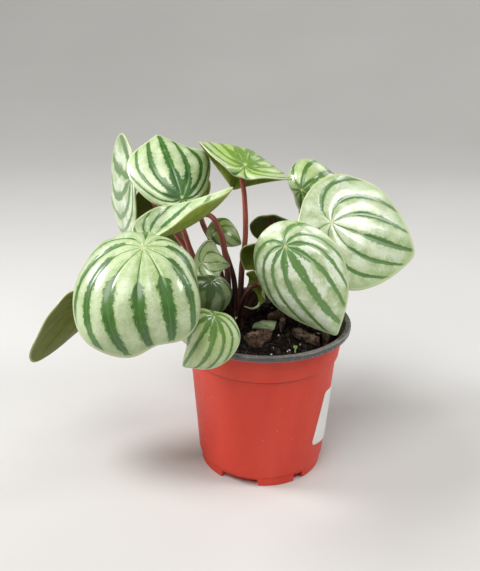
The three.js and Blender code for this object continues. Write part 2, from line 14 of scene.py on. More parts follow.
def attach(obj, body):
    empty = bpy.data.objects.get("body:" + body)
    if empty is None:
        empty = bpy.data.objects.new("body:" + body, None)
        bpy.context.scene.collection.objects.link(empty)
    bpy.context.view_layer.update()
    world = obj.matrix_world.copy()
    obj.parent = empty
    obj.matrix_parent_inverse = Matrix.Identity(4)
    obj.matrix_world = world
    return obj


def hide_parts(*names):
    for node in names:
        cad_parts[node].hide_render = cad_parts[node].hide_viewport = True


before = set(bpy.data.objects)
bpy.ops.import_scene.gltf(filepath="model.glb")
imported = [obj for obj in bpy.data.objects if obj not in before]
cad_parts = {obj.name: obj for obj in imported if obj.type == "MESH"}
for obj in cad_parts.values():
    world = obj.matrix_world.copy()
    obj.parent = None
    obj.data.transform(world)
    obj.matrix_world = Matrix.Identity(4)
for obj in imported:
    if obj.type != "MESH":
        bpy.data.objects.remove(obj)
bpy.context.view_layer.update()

MM = 0.001
SEED = 7

# Camera: the photograph's place, seen from the front and a little above
PHOTO_SIZE = (480, 571)
FOCAL_PIXELS = 690
CAMERA_TARGET = Vector((-15, 0, 118.2))
CAMERA_DISTANCE = 422.3
CAMERA_ELEVATION = 21.38
CAMERA_ROLL = 0.67
SENSOR_HEIGHT = 36

# Floor and lamps: the lamps look at the plant's middle from their distance
FLOOR_RADIUS = 1000
SWEEP_RADIUS = 2000
LAMP_DISTANCE = 900
LIT_MIDDLE = (-15, 0, 120)

# Pot, rim, soil and label
POT_SEGMENTS = 192
FOOT_RADIUS = 39.4
FOOT_HEIGHT = 6.2
WALL_LOW_RADIUS = 40.6
WALL_HIGH_RADIUS = 46
BAND_BOTTOM = 77
BAND_LOW_RADIUS = 47.5
SEAM_SHADE_HEIGHT = 76.4
BAND_HIGH_RADIUS = 49.6
POT_TOP = 93.1
POT_WALL = 0.9
POT_FLOOR = 1.5
HEEL_RADIUS = 30
HEEL_HEIGHT = 13
NOTCHES = ((-40, -3), (30, 41), (78, 115), (151, 162), (198, 235), (271, 282))
NOTCH_INNER_RADIUS = 35.5
NOTCH_HEIGHT = 4.5
RIM_BOTTOM = 93.4
RIM_TOP = 96.6
RIM_RADIUS = 54
RIM_MOUTH_RADIUS = 50.9
SKIRT_BOTTOM = 78
SKIRT_WALL = 0.75
RIM_START = 80
GAP = 0.3
SOIL_LEVEL = 88
SOIL_RADIUS = 46.5
CROWN = np.array((-18.0, 12.0, 88.0))
CROWN_PROFILE = (
    (0, 78), (4.8, 78), (6.6, 80), (7, 84), (6.9, 88), (6.2, 91), (4.6, 93.6), (2.4, 94.8), (0, 95),
)
CROWN_MIDDLE = (-18, 12, 86)
LABEL_ANGLE = 85
LABEL_HEIGHT = 35
LABEL_SIZE = (50, 37)
LABEL_CORNER = 3
LABEL_LEAN = -13
LABEL_REACH = 60
LABEL_FRONT = 0.5
LABEL_BACK = 0.1

# Leaves and stalks
BLADE_HALF = 0.55
EDGE_ROUND = 0.5
EDGE_STEPS = np.radians((30, 60, 90))
TIP_NARROWING = 6
BEND_STEPS = 10
BLADE_GRIDS = ((60, 132, 38), (40, 100, 28), (0, 76, 20))  # longer than, spokes, rings
VEIN_STEP = 30
PUFF = 0.3
GROOVE_DEPTH = 0.35
GROOVE_WIDTH = 0.16
RIB_HEIGHT = 0.18
RIB_WIDTH = 0.12
PUFF_BELOW = 0.3
STALK_ROOT_RADIUS = 1.9
STALK_END_RADIUS = 1.35
STALK_ROOT_OFFSET = 3.5
STALK_APPROACH = 7
END_FLARE = 0.7
END_FLARE_LENGTH = 1.6
ROOT_FLARE = 0.5
STREAK_COUNT = 3
STREAK_PACE = 0.12
CURL_REACH = 0.97
CURL_RADII = (1.1, 0.35)
YOUNG_TAIL = ((0, 0, 0), (-0.8, -0.8, -1.6), (-4.6, -1.6, -3.2), (-9.6, -2, -1.6))
CROWN_BUD = ((-19.4, 5, 90), (-19, 2.6, 93.4), (-17.8, 1.2, 94.8), (-16.4, 1.4, 96.6))

# Dark bands between a leaf's veins
BARBS = 15
BARB_SLANT = 2.4
BARB_DEPTH = 0.4
RAGGED_DEPTH = 1.2
UNEVEN_DEPTH = 0.8
BAND_SOFTNESS = 0.07

# Small things on the soil. Bark has a top, a curl and an outline, the cut leaf a bottom and a top
CRUMBS = 520
FIBRES = 60
FIBRE_STEPS = 8
FIBRE_RADIUS = 0.16
PERLITE = 10
PERLITE_STEPS = ((-4.6, -1.8), (-3.4, 0.4), (3.4, 7), (-8.7, 22))
SPROUT_AT = (18, -28.4)
SHOOT_RADIUS = 0.45
SEED_LEAF = (0.95, 0.7, 0.22)
SEED_LEAF_HEIGHT = 90.7
BARK_BOTTOM = 87.3
BARK = {
    "bark_chip_front": (90.6, 0.2, ((-12.6, -14.5), (-8, -23), (-3, -24), (1.4, -19), (4.4, -11.8),
                                    (5.6, -5.8), (1, -2.6), (-8.7, -8.3))),
    "bark_chip_back": (90.2, 0.4, ((3, 19), (4.2, 14.2), (10.8, 15.8), (14, 24), (10.6, 27.4), (7, 25))),
    "bark_chip_middle": (91.6, 0.3, ((11.2, -2.7), (13.4, 4), (14.6, 11), (12.3, 13.6), (11, 10.5),
                                     (10, 3))),
    "bark_chip_right": (90.6, 0.3, ((17.8, -2.4), (18.8, -8.9), (23.6, -16.2), (32.6, -21.5),
                                    (33.8, -14), (27.1, -7.3), (22.5, -2.3))),
    "bark_chip_edge": (91, 0.8, ((35.6, -19.4), (37.4, -20.6), (39.6, -13.3), (38.2, -7), (35.4, -9.9))),
}
CUT_LEAF = (88.7, 89.5, ((-7.2, 1), (2.5, 0), (6.3, -3), (9.2, 11.2), (0, 12.2), (-5.2, 7.7)))


def leaf(name, at, facing, size, outline, bend, bumps, wave, stalk,
         star=0.5, lime_glow=0, painted_shade=0, band=0.75, frost_sheen=0.25, fan=(0, 1.13, 1.2, 0)):
    """One leaf, with its place, form and stalk in the same words as on the part.
    star: how far the dark veins run together at the stalk. lime: how yellow-green the middle is, partly its
    own colour and partly a painted glow of light shining through.
    dim: how much painted shade darkens the blade, for leaves in the plant's shaded middle. band: how wide
    its dark bands are. frost: how white its silver is, partly its own colour and partly painted glossy
    sheen in patches.
    fan: the midrib's turn, how wide the veins spread, how they gather at the tip, their twist."""
    form = dict(zip(("length", "width", "attach", "full", "point", "curl"), (*size, *outline)))
    looks = dict(leaf_star=star, leaf_lime_glow=lime_glow, leaf_painted_shade=painted_shade, leaf_band=band, leaf_frost_sheen=frost_sheen)
    return dict(form, name=name, at=np.array(at, float), facing=facing, bend=bend, bumps=bumps,
                wave=wave, stalk=stalk, fan=fan, looks=looks)


LEAVES = [
    leaf("leaf_front_left", (-65, -54, 159.7), (-90, 63, 6), (81, 80), (0.21, 0.05, 0.19, 1.7),
         (64, 23, 3, 16, -8),
         ((8, -0.1, 28), (-68, 0.15, 40), (98, -0.18, 28), (146, -0.02, 23)), (0.8, 9, 0),
         ((-30, 6, 106), (-54, -6, 120), (-67, -38, 142)),
         star=0.04, lime_glow=0.12, band=1.05, frost_sheen=0.12, fan=(-10, 1.19, 1.03, 12)),
    leaf("leaf_upper_left", (-50.5, 14, 168.7), (-80, 29, 194), (62, 49), (0.12, 0.02, 0.77, 1),
         (32, 11, 3, -10, -2), ((-90, 0.24, 21), (79, 0.14, 33), (167, -0.17, 33)), (0.6, 7, 40),
         ((-45, 20, 130), (-50, 22, 144), (-55, 28, 157)),
         star=1, band=0.85, frost_sheen=0.1, fan=(0, 1.24, 1.43, -1)),
    leaf("leaf_far_left", (-84.9, 38, 175), (-152, 10, -62), (57, 67), (0.13, 0.24, 0.28, 1),
         (5, 1, 4, 5, 3), ((58, 0.08, 20), (-68, -0.09, 20)), (0.6, 7, 0),
         ((-44, 24, 126), (-57, 26, 144), (-70, 33, 160)),
         painted_shade=0.2, band=0.9, frost_sheen=0.85, fan=(25, 1.9, 1.2, -50)),
    leaf("leaf_folded", (-64.6, -19, 154.8), (109, 83, -82), (70, 49), (0.17, 0.22, 0.48, 0.9),
         (-40, -24, 16, -24, 20), ((72, -0.06, 26), (122, -0.15, 20)), (0.5, 6, 0),
         ((-30, 3, 112), (-50, -12, 131), (-61, -19, 145)),
         star=0.1, band=0.7, frost_sheen=0.5, fan=(10, 1.35, 1.18, 4)),
    leaf("leaf_top", (-13, 17, 188.4), (-65, 49, 145), (72, 69), (0.12, 0.05, 0.47, 1.3),
         (48, 69, 53, 7, -2), ((63, 0.03, 26), (157, 0.09, 23), (96, 0.05, 26)), (0.5, 6, 60),
         ((-14, 14, 124), (-12, 17, 145), (-13, 19, 170)),
         star=0.9, lime_glow=1, band=0.6, frost_sheen=0),
    leaf("leaf_low_left", (-112, -5, 106), (120, 20, 33), (67, 49), (0.24, 0.23, 0.2, 1),
         (14, -18, 0, 28, 19), (), (0.6, 7, 0),
         ((-42, 6, 110), (-76, -8, 115), (-102, -18, 108)), star=0.6, painted_shade=0.85),
    leaf("leaf_over_rim", (-29, -54, 121), (-37, 39, -40), (49, 38), (0.2, 0.1, 0.59, 1),
         (67, 7, 37, -35, -8), ((59, 0.03, 29), (-45, -0.21, 27)), (0.5, 7, 0),
         ((-21, -14, 102), (-31, -38, 109)),
         star=0.85, lime_glow=0.65, band=0.8, frost_sheen=0.3, fan=(13, 1.4, 1.34, -1)),
    leaf("leaf_low_front", (-31, -29, 131.8), (-70, 42, -15), (35, 34), (0.23, 0.21, 0.43, 1),
         (73, -1, 12, 1, 7), ((64, 0.04, 25),), (0.4, 6, 0),
         ((-23, 0, 106), (-32, -17, 119)),
         star=1.2, lime_glow=0.5, painted_shade=1.2, band=0.85, frost_sheen=0, fan=(-1, 1.9, 0.69, -1)),
    leaf("leaf_small_front", (-37.4, -9, 135.4), (-61, 29, 81), (28, 23), (0.19, 0.27, 0.8, 1),
         (8, 6, 23, -6, 18), ((105, 0.21, 27), (-57, -0.22, 28)), (0.4, 6, 0),
         ((-27, 9, 108), (-41, 2, 124)),
         star=0.15, lime_glow=0.45, painted_shade=0.05, band=0.4, frost_sheen=0.1, fan=(6, 2.4, 1.71, -5)),
    leaf("leaf_small_middle", (-29, 27, 146), (-82, 45, 64), (27, 20), (0.3, 0.2, 0.55, 1),
         (34, 0, 20, 7, 0), (), (0.4, 6, 0),
         ((-19, 26, 112), (-27, 34, 134)), star=0.7, lime_glow=0.9, painted_shade=0.3, frost_sheen=0, fan=(0, 2.2, 1.2, 0)),
    leaf("leaf_young_upper", (-4, 6, 139), (95, 33, 39), (25, 24), (0.39, 0.18, 0.5, 1),
         (40, 10, 8, -6, -5), (), (0.4, 6, 0),
         ((-10, 10, 109), (-4, 3, 127)), star=1, painted_shade=0.8),
    leaf("leaf_front_right", (10, -25, 152), (-90, 29, 33), (78, 57), (0.2, 0.22, 0.68, 1),
         (48, 5, -13, -13, -7), ((-53, -0.03, 27),), (0.5, 7, 20),
         ((-3, 9, 116), (8, -8, 138)),
         star=0.65, frost_sheen=0.95, fan=(-1, 1.28, 1.53, 7)),
    leaf("leaf_young_lower", (-3, -4, 121), (26, 12, 15), (26, 20), (0.4, 0.17, 0.5, 1),
         (27, -11, -11, 6, -8), (), (1, 5, 0),
         ((-14, 2, 104), (-11, -6, 115)), star=1, painted_shade=0.6),
    leaf("leaf_right", (39, 5, 157), (-70, 38, 67), (80, 74), (0.25, 0.2, 0.5, 1),
         (12, 1, 0, -4, -2), ((60, 0.04, 27),), (0.6, 9, 0),
         ((2, 18, 114), (28, 20, 140)),
         star=0.12, painted_shade=0.06, band=0.62, frost_sheen=0.5, fan=(-3, 1.6, 1.6, 5)),
    leaf("leaf_back_right", (24, 46, 167), (-102, 19, 114), (51, 47), (0.2, 0.17, 0.45, 1),
         (70, -5, 27, 4, 5), (), (0.5, 7, 0),
         ((10, 34, 119), (25, 51, 146), (24, 55, 160)),
         star=0.7, lime_glow=0.45, painted_shade=0.1, frost_sheen=0, fan=(21, 1.5, 0.4, -3)),
    leaf("leaf_behind_left", (-68.5, 52, 148.6), (135, -12, 8), (53, 44), (0.4, 0.21, 0.55, 1),
         (31, 17, 39, 1, 13), (), (0.5, 6, 0),
         ((-24, 16, 129), (-28, 20, 147), (-34, 25, 155), (-46, 30, 154)), painted_shade=0.85),
    leaf("leaf_back_middle", (5, 44, 148), (85, 40, 0), (34, 30), (0.3, 0.2, 0.5, 1),
         (40, 0, 0, 0, 0), (), (0.4, 6, 0),
         ((-6, 30, 114), (3, 37, 137)), painted_shade=1),
    leaf("leaf_back_left", (-55, 70, 168), (115, 40, 10), (50, 45), (0.28, 0.15, 0.4, 1),
         (40, 5, 5, 0, 0), (), (0.6, 7, 0),
         ((-32, 26, 134), (-39, 37, 145), (-47, 60, 159)), star=0.7),
    leaf("leaf_rear_right", (58, 62, 133), (55, 40, -15), (56, 50), (0.28, 0.15, 0.4, 1),
         (40, 5, 5, 0, 0), (), (0.6, 7, 0),
         ((12, 28, 110), (46, 50, 122)), star=0.6),
    leaf("leaf_rear_middle", (24, 64, 118), (75, 35, 10), (46, 42), (0.28, 0.15, 0.4, 1),
         (45, 5, 5, 0, 0), (), (0.6, 7, 0),
         ((-2, 36, 106), (20, 55, 110)), star=0.8),
    leaf("leaf_rear_left", (-63, 52, 110), (130, 45, -10), (50, 44), (0.28, 0.15, 0.4, 1),
         (45, 5, 5, 0, 0), (), (0.6, 7, 0),
         ((-34, 28, 108), (-56, 46, 104))),
]


# Mesh making

def link_new(name, data):
    """A new object in the scene."""
    made = bpy.data.objects.new(name, data)
    bpy.context.scene.collection.objects.link(made)
    return made


def make_piece(name, points, faces, materials, slot, replaces=(), attributes=None, sides=None):
    """A smooth mesh from millimetre points, riding on the root body. An attribute is one value
    or a value for each point, and `sides` numbers each face's material."""
    mesh = bpy.data.meshes.new(name)
    mesh.from_pydata((np.asarray(points, float) * MM).tolist(), [], faces)
    for material in materials:
        mesh.materials.append(material)
    if sides is not None:
        mesh.polygons.foreach_set("material_index", np.asarray(sides, np.int32))
    mesh.polygons.foreach_set("use_smooth", np.full(len(mesh.polygons), True))
    for key, values in (attributes or {}).items():
        values = np.asarray(values, np.float32)
        if values.ndim == 0:
            values = np.full(len(points), values)
        kind, field = ("FLOAT_VECTOR", "vector") if values.ndim == 2 else ("FLOAT", "value")
        mesh.attributes.new(key, kind, "POINT").data.foreach_set(field, values.ravel())
    mesh.validate()
    mesh.update()
    piece = link_new(name, mesh)
    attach(piece, "root")
    if replaces:
        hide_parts(*replaces)
    return piece


def even_angles(count):
    """Angles spread evenly round a circle."""
    return np.linspace(0, 2 * np.pi, count, endpoint=False)


def round_axis(radius, angle, height):
    """A point round the pot's axis, at an angle from the front."""
    return (radius * math.sin(angle), -radius * math.cos(angle), height)


def neighbours(around):
    """Each number round a ring with the next one."""
    return [(k, (k + 1) % around) for k in range(around)]


def ring_faces(rings, around, start=0):
    """Quads between neighbouring rings of `around` points each, wound outwards from ring to ring."""
    lows = [start + ring * around for ring in range(rings - 1)]
    return [(low + k, low + after, low + around + after, low + around + k)
            for low in lows for k, after in neighbours(around)]


def dome_faces(rings, around):
    """Faces of a closed form: a centre point, rings of `around` points each and a last centre."""
    last = 1 + (rings - 1) * around
    faces = [(0, 1 + k, 1 + after) for k, after in neighbours(around)]
    faces += [(a, d, c, b) for a, b, c, d in ring_faces(rings, around, 1)]
    return faces + [(last + around, last + after, last + k) for k, after in neighbours(around)]


def rod_faces(rings, around):
    """Faces of a closed form: rings of `around` points each, then the two ends' centre points."""
    first = rings * around
    last = first - around
    faces = ring_faces(rings, around)
    faces += [(first, after, k) for k, after in neighbours(around)]
    return faces + [(first + 1, last + k, last + after) for k, after in neighbours(around)]


def fillet(profile, radius, steps=4):
    """A [radius, height] outline with its inner corners rounded."""
    rounded = [profile[0]]
    for before, corner, after in zip(profile, profile[1:], profile[2:]):
        corner = np.array(corner, float)
        sides = [np.array(other, float) - corner for other in (before, after)]
        lengths = [np.linalg.norm(side) for side in sides]
        cut = min(radius, 0.45 * lengths[0], 0.45 * lengths[1])
        start, end = (corner + side / length * cut for side, length in zip(sides, lengths))
        for step in range(steps + 1):
            t = step / steps
            rounded.append(tuple((1 - t) ** 2 * start + 2 * t * (1 - t) * corner + t ** 2 * end))
    rounded.append(profile[-1])
    return rounded


def turned(profile, segments=POT_SEGMENTS, closed=False):
    """Points and faces of a profile turned about Z. An open profile starts and ends on the axis."""
    inner = profile if closed else profile[1:-1]
    points = [round_axis(radius, angle, z) for radius, z in inner for angle in even_angles(segments)]
    if closed:
        last = (len(inner) - 1) * segments
        seam = [(last + k, last + after, after, k) for k, after in neighbours(segments)]
        return points, ring_faces(len(inner), segments) + seam
    points += [(0, 0, profile[0][1]), (0, 0, profile[-1][1])]
    return points, rod_faces(len(inner), segments)


# Materials

def rgb(red, green, blue):
    """A screen colour of 0 to 255 as the renderer's linear light."""
    shares = (red / 255, green / 255, blue / 255)
    return (*(v / 12.92 if v <= 0.04045 else ((v + 0.055) / 1.055) ** 2.4 for v in shares), 1)


class Value:
    """A node's output. Its sums, differences and products are math nodes."""

    def __init__(self, shader, socket):
        self.shader = shader
        self.socket = socket

    def __add__(self, other):
        return self.shader.math("ADD", self, other)

    def __sub__(self, other):
        return self.shader.math("SUBTRACT", self, other)

    def __rsub__(self, other):
        return self.shader.math("SUBTRACT", other, self)

    def __mul__(self, other):
        return self.shader.math("MULTIPLY", self, other)


class Shader:
    """A node material made step by step. A colour is a Value or a screen colour of 0 to 255."""

    def __init__(self, name):
        self.material = bpy.data.materials.new(name)
        self.material.use_nodes = True
        self.tree = self.material.node_tree
        self.surface = self.tree.nodes["Principled BSDF"]

    def feed(self, socket, value):
        if isinstance(value, Value):
            self.tree.links.new(value.socket, socket)
        else:
            socket.default_value = value

    def node(self, kind, output, inputs=(), **settings):
        """One output of a new node, from (input, value) pairs and its settings."""
        made = self.tree.nodes.new(kind)
        for key, value in settings.items():
            setattr(made, key, value)
        for key, value in inputs:
            self.feed(made.inputs[key], value)
        return Value(self, made.outputs[output])

    def math(self, operation, *values, clamp=False):
        return self.node("ShaderNodeMath", 0, enumerate(values), operation=operation, use_clamp=clamp)

    def attribute(self, name, output="Fac"):
        return self.node("ShaderNodeAttribute", output, attribute_name=name)

    def place(self):
        """The point on the piece, in metres."""
        return self.node("ShaderNodeTexCoord", "Object")

    def height(self):
        """Height above the table, in metres."""
        return self.node("ShaderNodeSeparateXYZ", "Z", [(0, self.place())])

    def stretch(self, vector, scale):
        return self.node("ShaderNodeMapping", 0, [("Vector", vector), ("Scale", scale)])

    def noise(self, vector, scale, detail=2, roughness=0.5, distortion=0):
        inputs = [("Vector", vector), ("Scale", scale), ("Detail", detail), ("Roughness", roughness)]
        return self.node("ShaderNodeTexNoise", "Fac", [*inputs, ("Distortion", distortion)])

    def cells(self, vector, scale):
        return self.node("ShaderNodeTexVoronoi", "Distance", [("Vector", vector), ("Scale", scale)])

    def between(self, value, low, high, start=0, end=1):
        """Smooth step of value from low to high, turned into start to end."""
        inputs = [("From Min", low), ("From Max", high), ("To Min", start), ("To Max", end)]
        inputs.append(("Value", value))
        return self.node("ShaderNodeMapRange", "Result", inputs, interpolation_type="SMOOTHSTEP")

    def curve(self, value, *stops):
        """A value looked up in a list of (place, result) stops."""
        made = self.tree.nodes.new("ShaderNodeValToRGB")
        self.feed(made.inputs["Fac"], value)
        band = made.color_ramp.elements
        while len(band) < len(stops):
            band.new(0.5)
        for element, (where, result) in zip(band, stops):
            element.position = where
            element.color = (result, result, result, 1)
        return Value(self, made.outputs["Color"])

    def mix(self, factor, first, second):
        first, second = (v if isinstance(v, Value) else rgb(*v) for v in (first, second))
        inputs = [("Factor", factor), (6, first), (7, second)]
        return self.node("ShaderNodeMix", 2, inputs, data_type="RGBA")

    def tint(self, first, second, value, low, high, start=0, end=1):
        """The first colour with a share of the second, by a smooth step of value."""
        return self.mix(self.between(value, low, high, start, end), first, second)

    def bump(self, height, strength, distance):
        inputs = [("Height", height), ("Strength", strength), ("Distance", distance)]
        self.feed(self.surface.inputs["Normal"], self.node("ShaderNodeBump", 0, inputs))

    def finish(self, color, value, start, end, specular=0.5, low=0.3, high=0.7):
        """The material, whose roughness goes from start to end as value goes from low to high."""
        self.feed(self.surface.inputs["Base Color"], color)
        self.feed(self.surface.inputs["Roughness"], self.between(value, low, high, start, end))
        self.surface.inputs["Specular IOR Level"].default_value = specular
        return self.material


def vein_mask(shader):
    """0 between the veins and 1 on their dark bands, which run together round the stalk as far
    as the leaf's star says. Also how far the nearest vein is, 0 to 1."""
    around = shader.attribute("vein_angle")
    reach = shader.attribute("reach")
    star = shader.attribute("leaf_star")
    flat = shader.attribute("flat_place", "Vector")
    turns = shader.math("DIVIDE", around, VEIN_STEP) + 0.5
    away = shader.math("ABSOLUTE", shader.math("FRACT", turns) - 0.5) * 2
    ragged = shader.noise(flat, 0.5, 3, 0.65) - 0.5
    uneven = shader.noise(flat, 0.13, 2) - 0.5
    barb = shader.math("FRACT", reach * BARBS - away * BARB_SLANT + ragged * 3) - 0.5
    plain = shader.curve(reach, (0, 0.07), (0.35, 0.06), (0.44, 0.5), (0.7, 0.44), (1, 0.26))
    steady = shader.curve(reach, (0, 0.5), (0.5, 0.46), (1, 0.3))
    behind = shader.math("ADD", star * 1.8, 0.2, clamp=True)
    plain = plain * (1 - star) * shader.between(around, 98, 125, 1, behind)
    width = (plain + steady * star) * shader.attribute("leaf_band")
    centre = shader.between(reach, 0.08, 0.58, 1.35, 0) * star
    change = barb * BARB_DEPTH + ragged * RAGGED_DEPTH + uneven * UNEVEN_DEPTH + 1
    width = shader.math("MAXIMUM", width, centre) * change
    return shader.between(away, width - BAND_SOFTNESS, width + BAND_SOFTNESS, 1, 0), away


def leaf_upper_material():
    """Silver-green between dark green bands, with a pale margin and a pale dot over the stalk."""
    shader = Shader("leaf_upper")
    reach = shader.attribute("reach")
    frost_sheen = shader.attribute("leaf_frost_sheen")
    flat = shader.attribute("flat_place", "Vector")
    dark, away = vein_mask(shader)
    mottle = shader.noise(flat, 0.12, 3, 0.6)
    grain = shader.noise(flat, 1, 3, 0.65)
    silver = shader.tint((154, 182, 116), (198, 215, 164), mottle, 0.35, 0.65)
    silver = shader.tint(silver, (210, 220, 190), away, 0.45, 0.95, 0, 0.5)
    silver = shader.tint(silver, (218, 227, 200), grain, 0.52, 0.72, 0, 0.45)
    silver = shader.tint(silver, (140, 166, 104), grain, 0.3, 0.46, 0.45, 0)
    # Painted sheen: whitish glossy patches on the silver, and paler bands, as much as the frost value says.
    sheen_patches = shader.between(shader.noise(flat, 0.09, 2), 0.42, 0.6, 0, 1.1)
    silver = shader.mix(sheen_patches * frost_sheen, silver, (230, 242, 216))
    wrinkle = shader.math("ABSOLUTE", shader.noise(flat, 0.16, 3, 0.6, 1.2) - 0.5)
    silver = shader.tint(silver, (124, 152, 92), wrinkle, 0.004, 0.022, 0.32, 0)
    silver = shader.tint(silver, (150, 180, 108), reach, 0.82, 1, 0, 0.6)
    green = shader.tint((34, 82, 20), (60, 114, 32), mottle, 0.3, 0.7)
    green = shader.mix(frost_sheen * 0.6, green, (126, 166, 98))
    color = shader.mix(dark, silver, green)
    # Painted glow: light shining through the blade, painted as a yellow-green middle over the leaf's own
    # lime colour.
    glow = shader.attribute("leaf_lime_glow") * shader.between(reach, 0.4, 1.1, 1, 0)
    lit = shader.mix(dark, (166, 194, 96), (112, 150, 48))
    color = shader.mix(glow * 0.9, color, lit)
    line = shader.between(away, 0.02, 0.07, 0.3, 0) * shader.between(reach, 0.3, 0.6, 0, 1)
    color = shader.mix(line, color, (120, 156, 84))
    color = shader.tint(color, (206, 206, 130), reach, 0.015, 0.05, 0.9, 0)
    color = shader.tint(color, (236, 240, 226), shader.cells(flat, 0.16), 0.03, 0.07, 0.8, 0)
    # Painted shade: leaves in the plant's shaded middle are darkened towards dark green.
    color = shader.mix(shader.attribute("leaf_painted_shade") * 0.6, color, (34, 52, 18))
    color = shader.tint(color, (204, 216, 168), reach, 0.95, 0.98, 0, 0.85)
    shader.bump(grain * 0.4 + shader.noise(flat, 0.6, 2), 0.35, 0.0003)
    shader.surface.inputs["Coat Weight"].default_value = 0.8
    shader.surface.inputs["Coat Roughness"].default_value = 0.17
    return shader.finish(color, grain, 0.34, 0.5)


def leaf_under_material():
    """Olive green with pale raised veins and the upper side's bands faintly showing through."""
    shader = Shader("leaf_under")
    reach = shader.attribute("reach")
    flat = shader.attribute("flat_place", "Vector")
    dark, away = vein_mask(shader)
    mottle = shader.noise(flat, 0.15, 3, 0.6)
    color = shader.tint((130, 150, 50), (158, 176, 74), mottle, 0.3, 0.7)
    color = shader.mix(dark * 0.3, color, (106, 126, 40))
    color = shader.tint(color, (178, 188, 116), away, 0.03, 0.1, 0.2, 0)
    color = shader.tint(color, (140, 88, 66), reach, 0.02, 0.12, 0.8, 0)
    # Painted shade: on leaves in the plant's shaded middle the under side is darkened towards dark olive.
    color = shader.mix(shader.attribute("leaf_painted_shade") * 0.7, color, (50, 62, 8))
    color = shader.tint(color, (186, 198, 132), reach, 0.96, 0.99, 0, 0.7)
    color = shader.tint(color, (96, 74, 44), shader.cells(flat, 0.14), 0.04, 0.12, 0.7, 0)
    shader.bump(shader.noise(flat, 1.2, 3, 0.6), 0.3, 0.0003)
    return shader.finish(color, mottle, 0.5, 0.62, 0.25)


def stalk_material():
    """Fleshy red-brown with fine lengthwise streaks, darker low down, partly its own browner base and
    partly painted shade under the leaves, and greener at the blade.
    """
    shader = Shader("stalk_flesh")
    streak = shader.noise(shader.attribute("stalk_place", "Vector"), 1, 3, 0.6)
    color = shader.tint((140, 64, 54), (192, 108, 92), streak, 0.35, 0.7)
    # Darker low down: partly the stalks' own browner base, partly painted shade under the leaves.
    color = shader.tint(color, (44, 21, 16), shader.height(), 0.11, 0.15, 0.95, 0)
    color = shader.tint(color, (150, 128, 78), shader.attribute("along"), 0.93, 1, 0, 0.7)
    speck = shader.noise(shader.place(), 900, 2)
    color = shader.tint(color, (188, 128, 108), speck, 0.62, 0.72, 0, 0.5)
    shader.bump(streak, 0.25, 0.0004)
    return shader.finish(color, streak, 0.34, 0.5)


def pot_material():
    """Satin moulded plastic: faint flow marks, a fine grain, scuffs, and a painted shade line in the seam
    under the band.
    """
    shader = Shader("pot_plastic")
    place = shader.place()
    flow = shader.noise(shader.stretch(place, (1, 1, 0.25)), 45, 3, 0.6)
    grain = shader.noise(place, 1500, 2)
    scuff = shader.noise(shader.stretch(place, (1, 1, 4)), 160, 4, 0.7)
    seam = shader.math("ABSOLUTE", shader.height() - SEAM_SHADE_HEIGHT * MM)
    color = shader.tint((216, 60, 40), (224, 70, 50), flow, 0.3, 0.7)
    color = shader.tint(color, (236, 112, 88), scuff, 0.64, 0.74, 0, 0.3)
    # Painted shade: a dark line in the groove under the band's overhang.
    color = shader.tint(color, (104, 26, 18), seam, 0.0003, 0.0008, 0.65, 0)
    color = shader.tint(color, (232, 196, 180), shader.cells(place, 130), 0.03, 0.06, 0.35, 0)
    shader.bump(grain * 0.25 + flow, 0.25, 0.0006)
    return shader.finish(color, scuff, 0.42, 0.58, 0.4)


def rim_material():
    """Glossy black plastic with worn patches and dust, a painted highlight along its lip and a painted
    reflection along its hem.
    """
    shader = Shader("rim_plastic")
    place, height = shader.place(), shader.height()
    wear = shader.noise(place, 210, 4, 0.7)
    dust = shader.noise(place, 900, 3, 0.7)
    color = shader.tint((68, 67, 67), (136, 132, 128), wear, 0.45, 0.8, 0, 0.3)
    color = shader.tint(color, (150, 146, 142), dust, 0.62, 0.74, 0, 0.35)
    # Painted highlight along the lip's top edge and painted reflection along the hem, where light catches
    # the rounded edges.
    lip = shader.between(height, (RIM_TOP - 0.5) * MM, RIM_TOP * MM, 0, 0.5)
    hem = shader.between(height, (RIM_BOTTOM + 0.2) * MM, (RIM_BOTTOM + 0.9) * MM, 0.5, 0)
    color = shader.mix(shader.math("MAXIMUM", lip, hem), color, (142, 136, 132))
    shader.bump(wear, 0.12, 0.0003)
    return shader.finish(color, wear, 0.14, 0.36, 0.8)


def soil_material():
    """Damp dark mix."""
    shader = Shader("soil_mix")
    coarse = shader.noise(shader.place(), 260, 5, 0.7)
    fine = shader.noise(shader.place(), 1400, 4, 0.7)
    color = shader.tint((10, 7, 5), (30, 21, 16), coarse, 0.35, 0.7)
    color = shader.tint(color, (60, 45, 35), fine, 0.64, 0.76, 0, 0.5)
    shader.bump(coarse + fine, 0.8, 0.0012)
    return shader.finish(color, fine, 0.6, 0.95, 0.1)


def crumb_material():
    """Crumbs of peat and wood, each a little different."""
    shader = Shader("soil_crumbs")
    grain = shader.noise(shader.place(), 1300, 4, 0.7)
    color = shader.mix(shader.attribute("tone"), (13, 9, 7), (62, 43, 30))
    color = shader.tint(color, (104, 80, 62), grain, 0.58, 0.76, 0, 0.4)
    shader.bump(grain, 0.8, 0.0008)
    return shader.finish(color, grain, 0.6, 0.9, 0.35)


def bark_material():
    """Rough bark with long grain and paler broken fibres."""
    shader = Shader("bark")
    place = shader.place()
    grain = shader.noise(shader.stretch(place, (1.6, 0.5, 3)), 340, 6, 0.75, 0.8)
    patch = shader.noise(place, 150, 3)
    color = shader.tint((42, 29, 23), (140, 110, 90), grain, 0.4, 0.66)
    color = shader.tint(color, (186, 158, 136), patch, 0.5, 0.66, 0, 0.7)
    color = shader.tint(color, (20, 13, 10), grain, 0.3, 0.44, 0.9, 0)
    shader.bump(grain, 1, 0.002)
    return shader.finish(color, grain, 0.7, 0.95, 0.3)


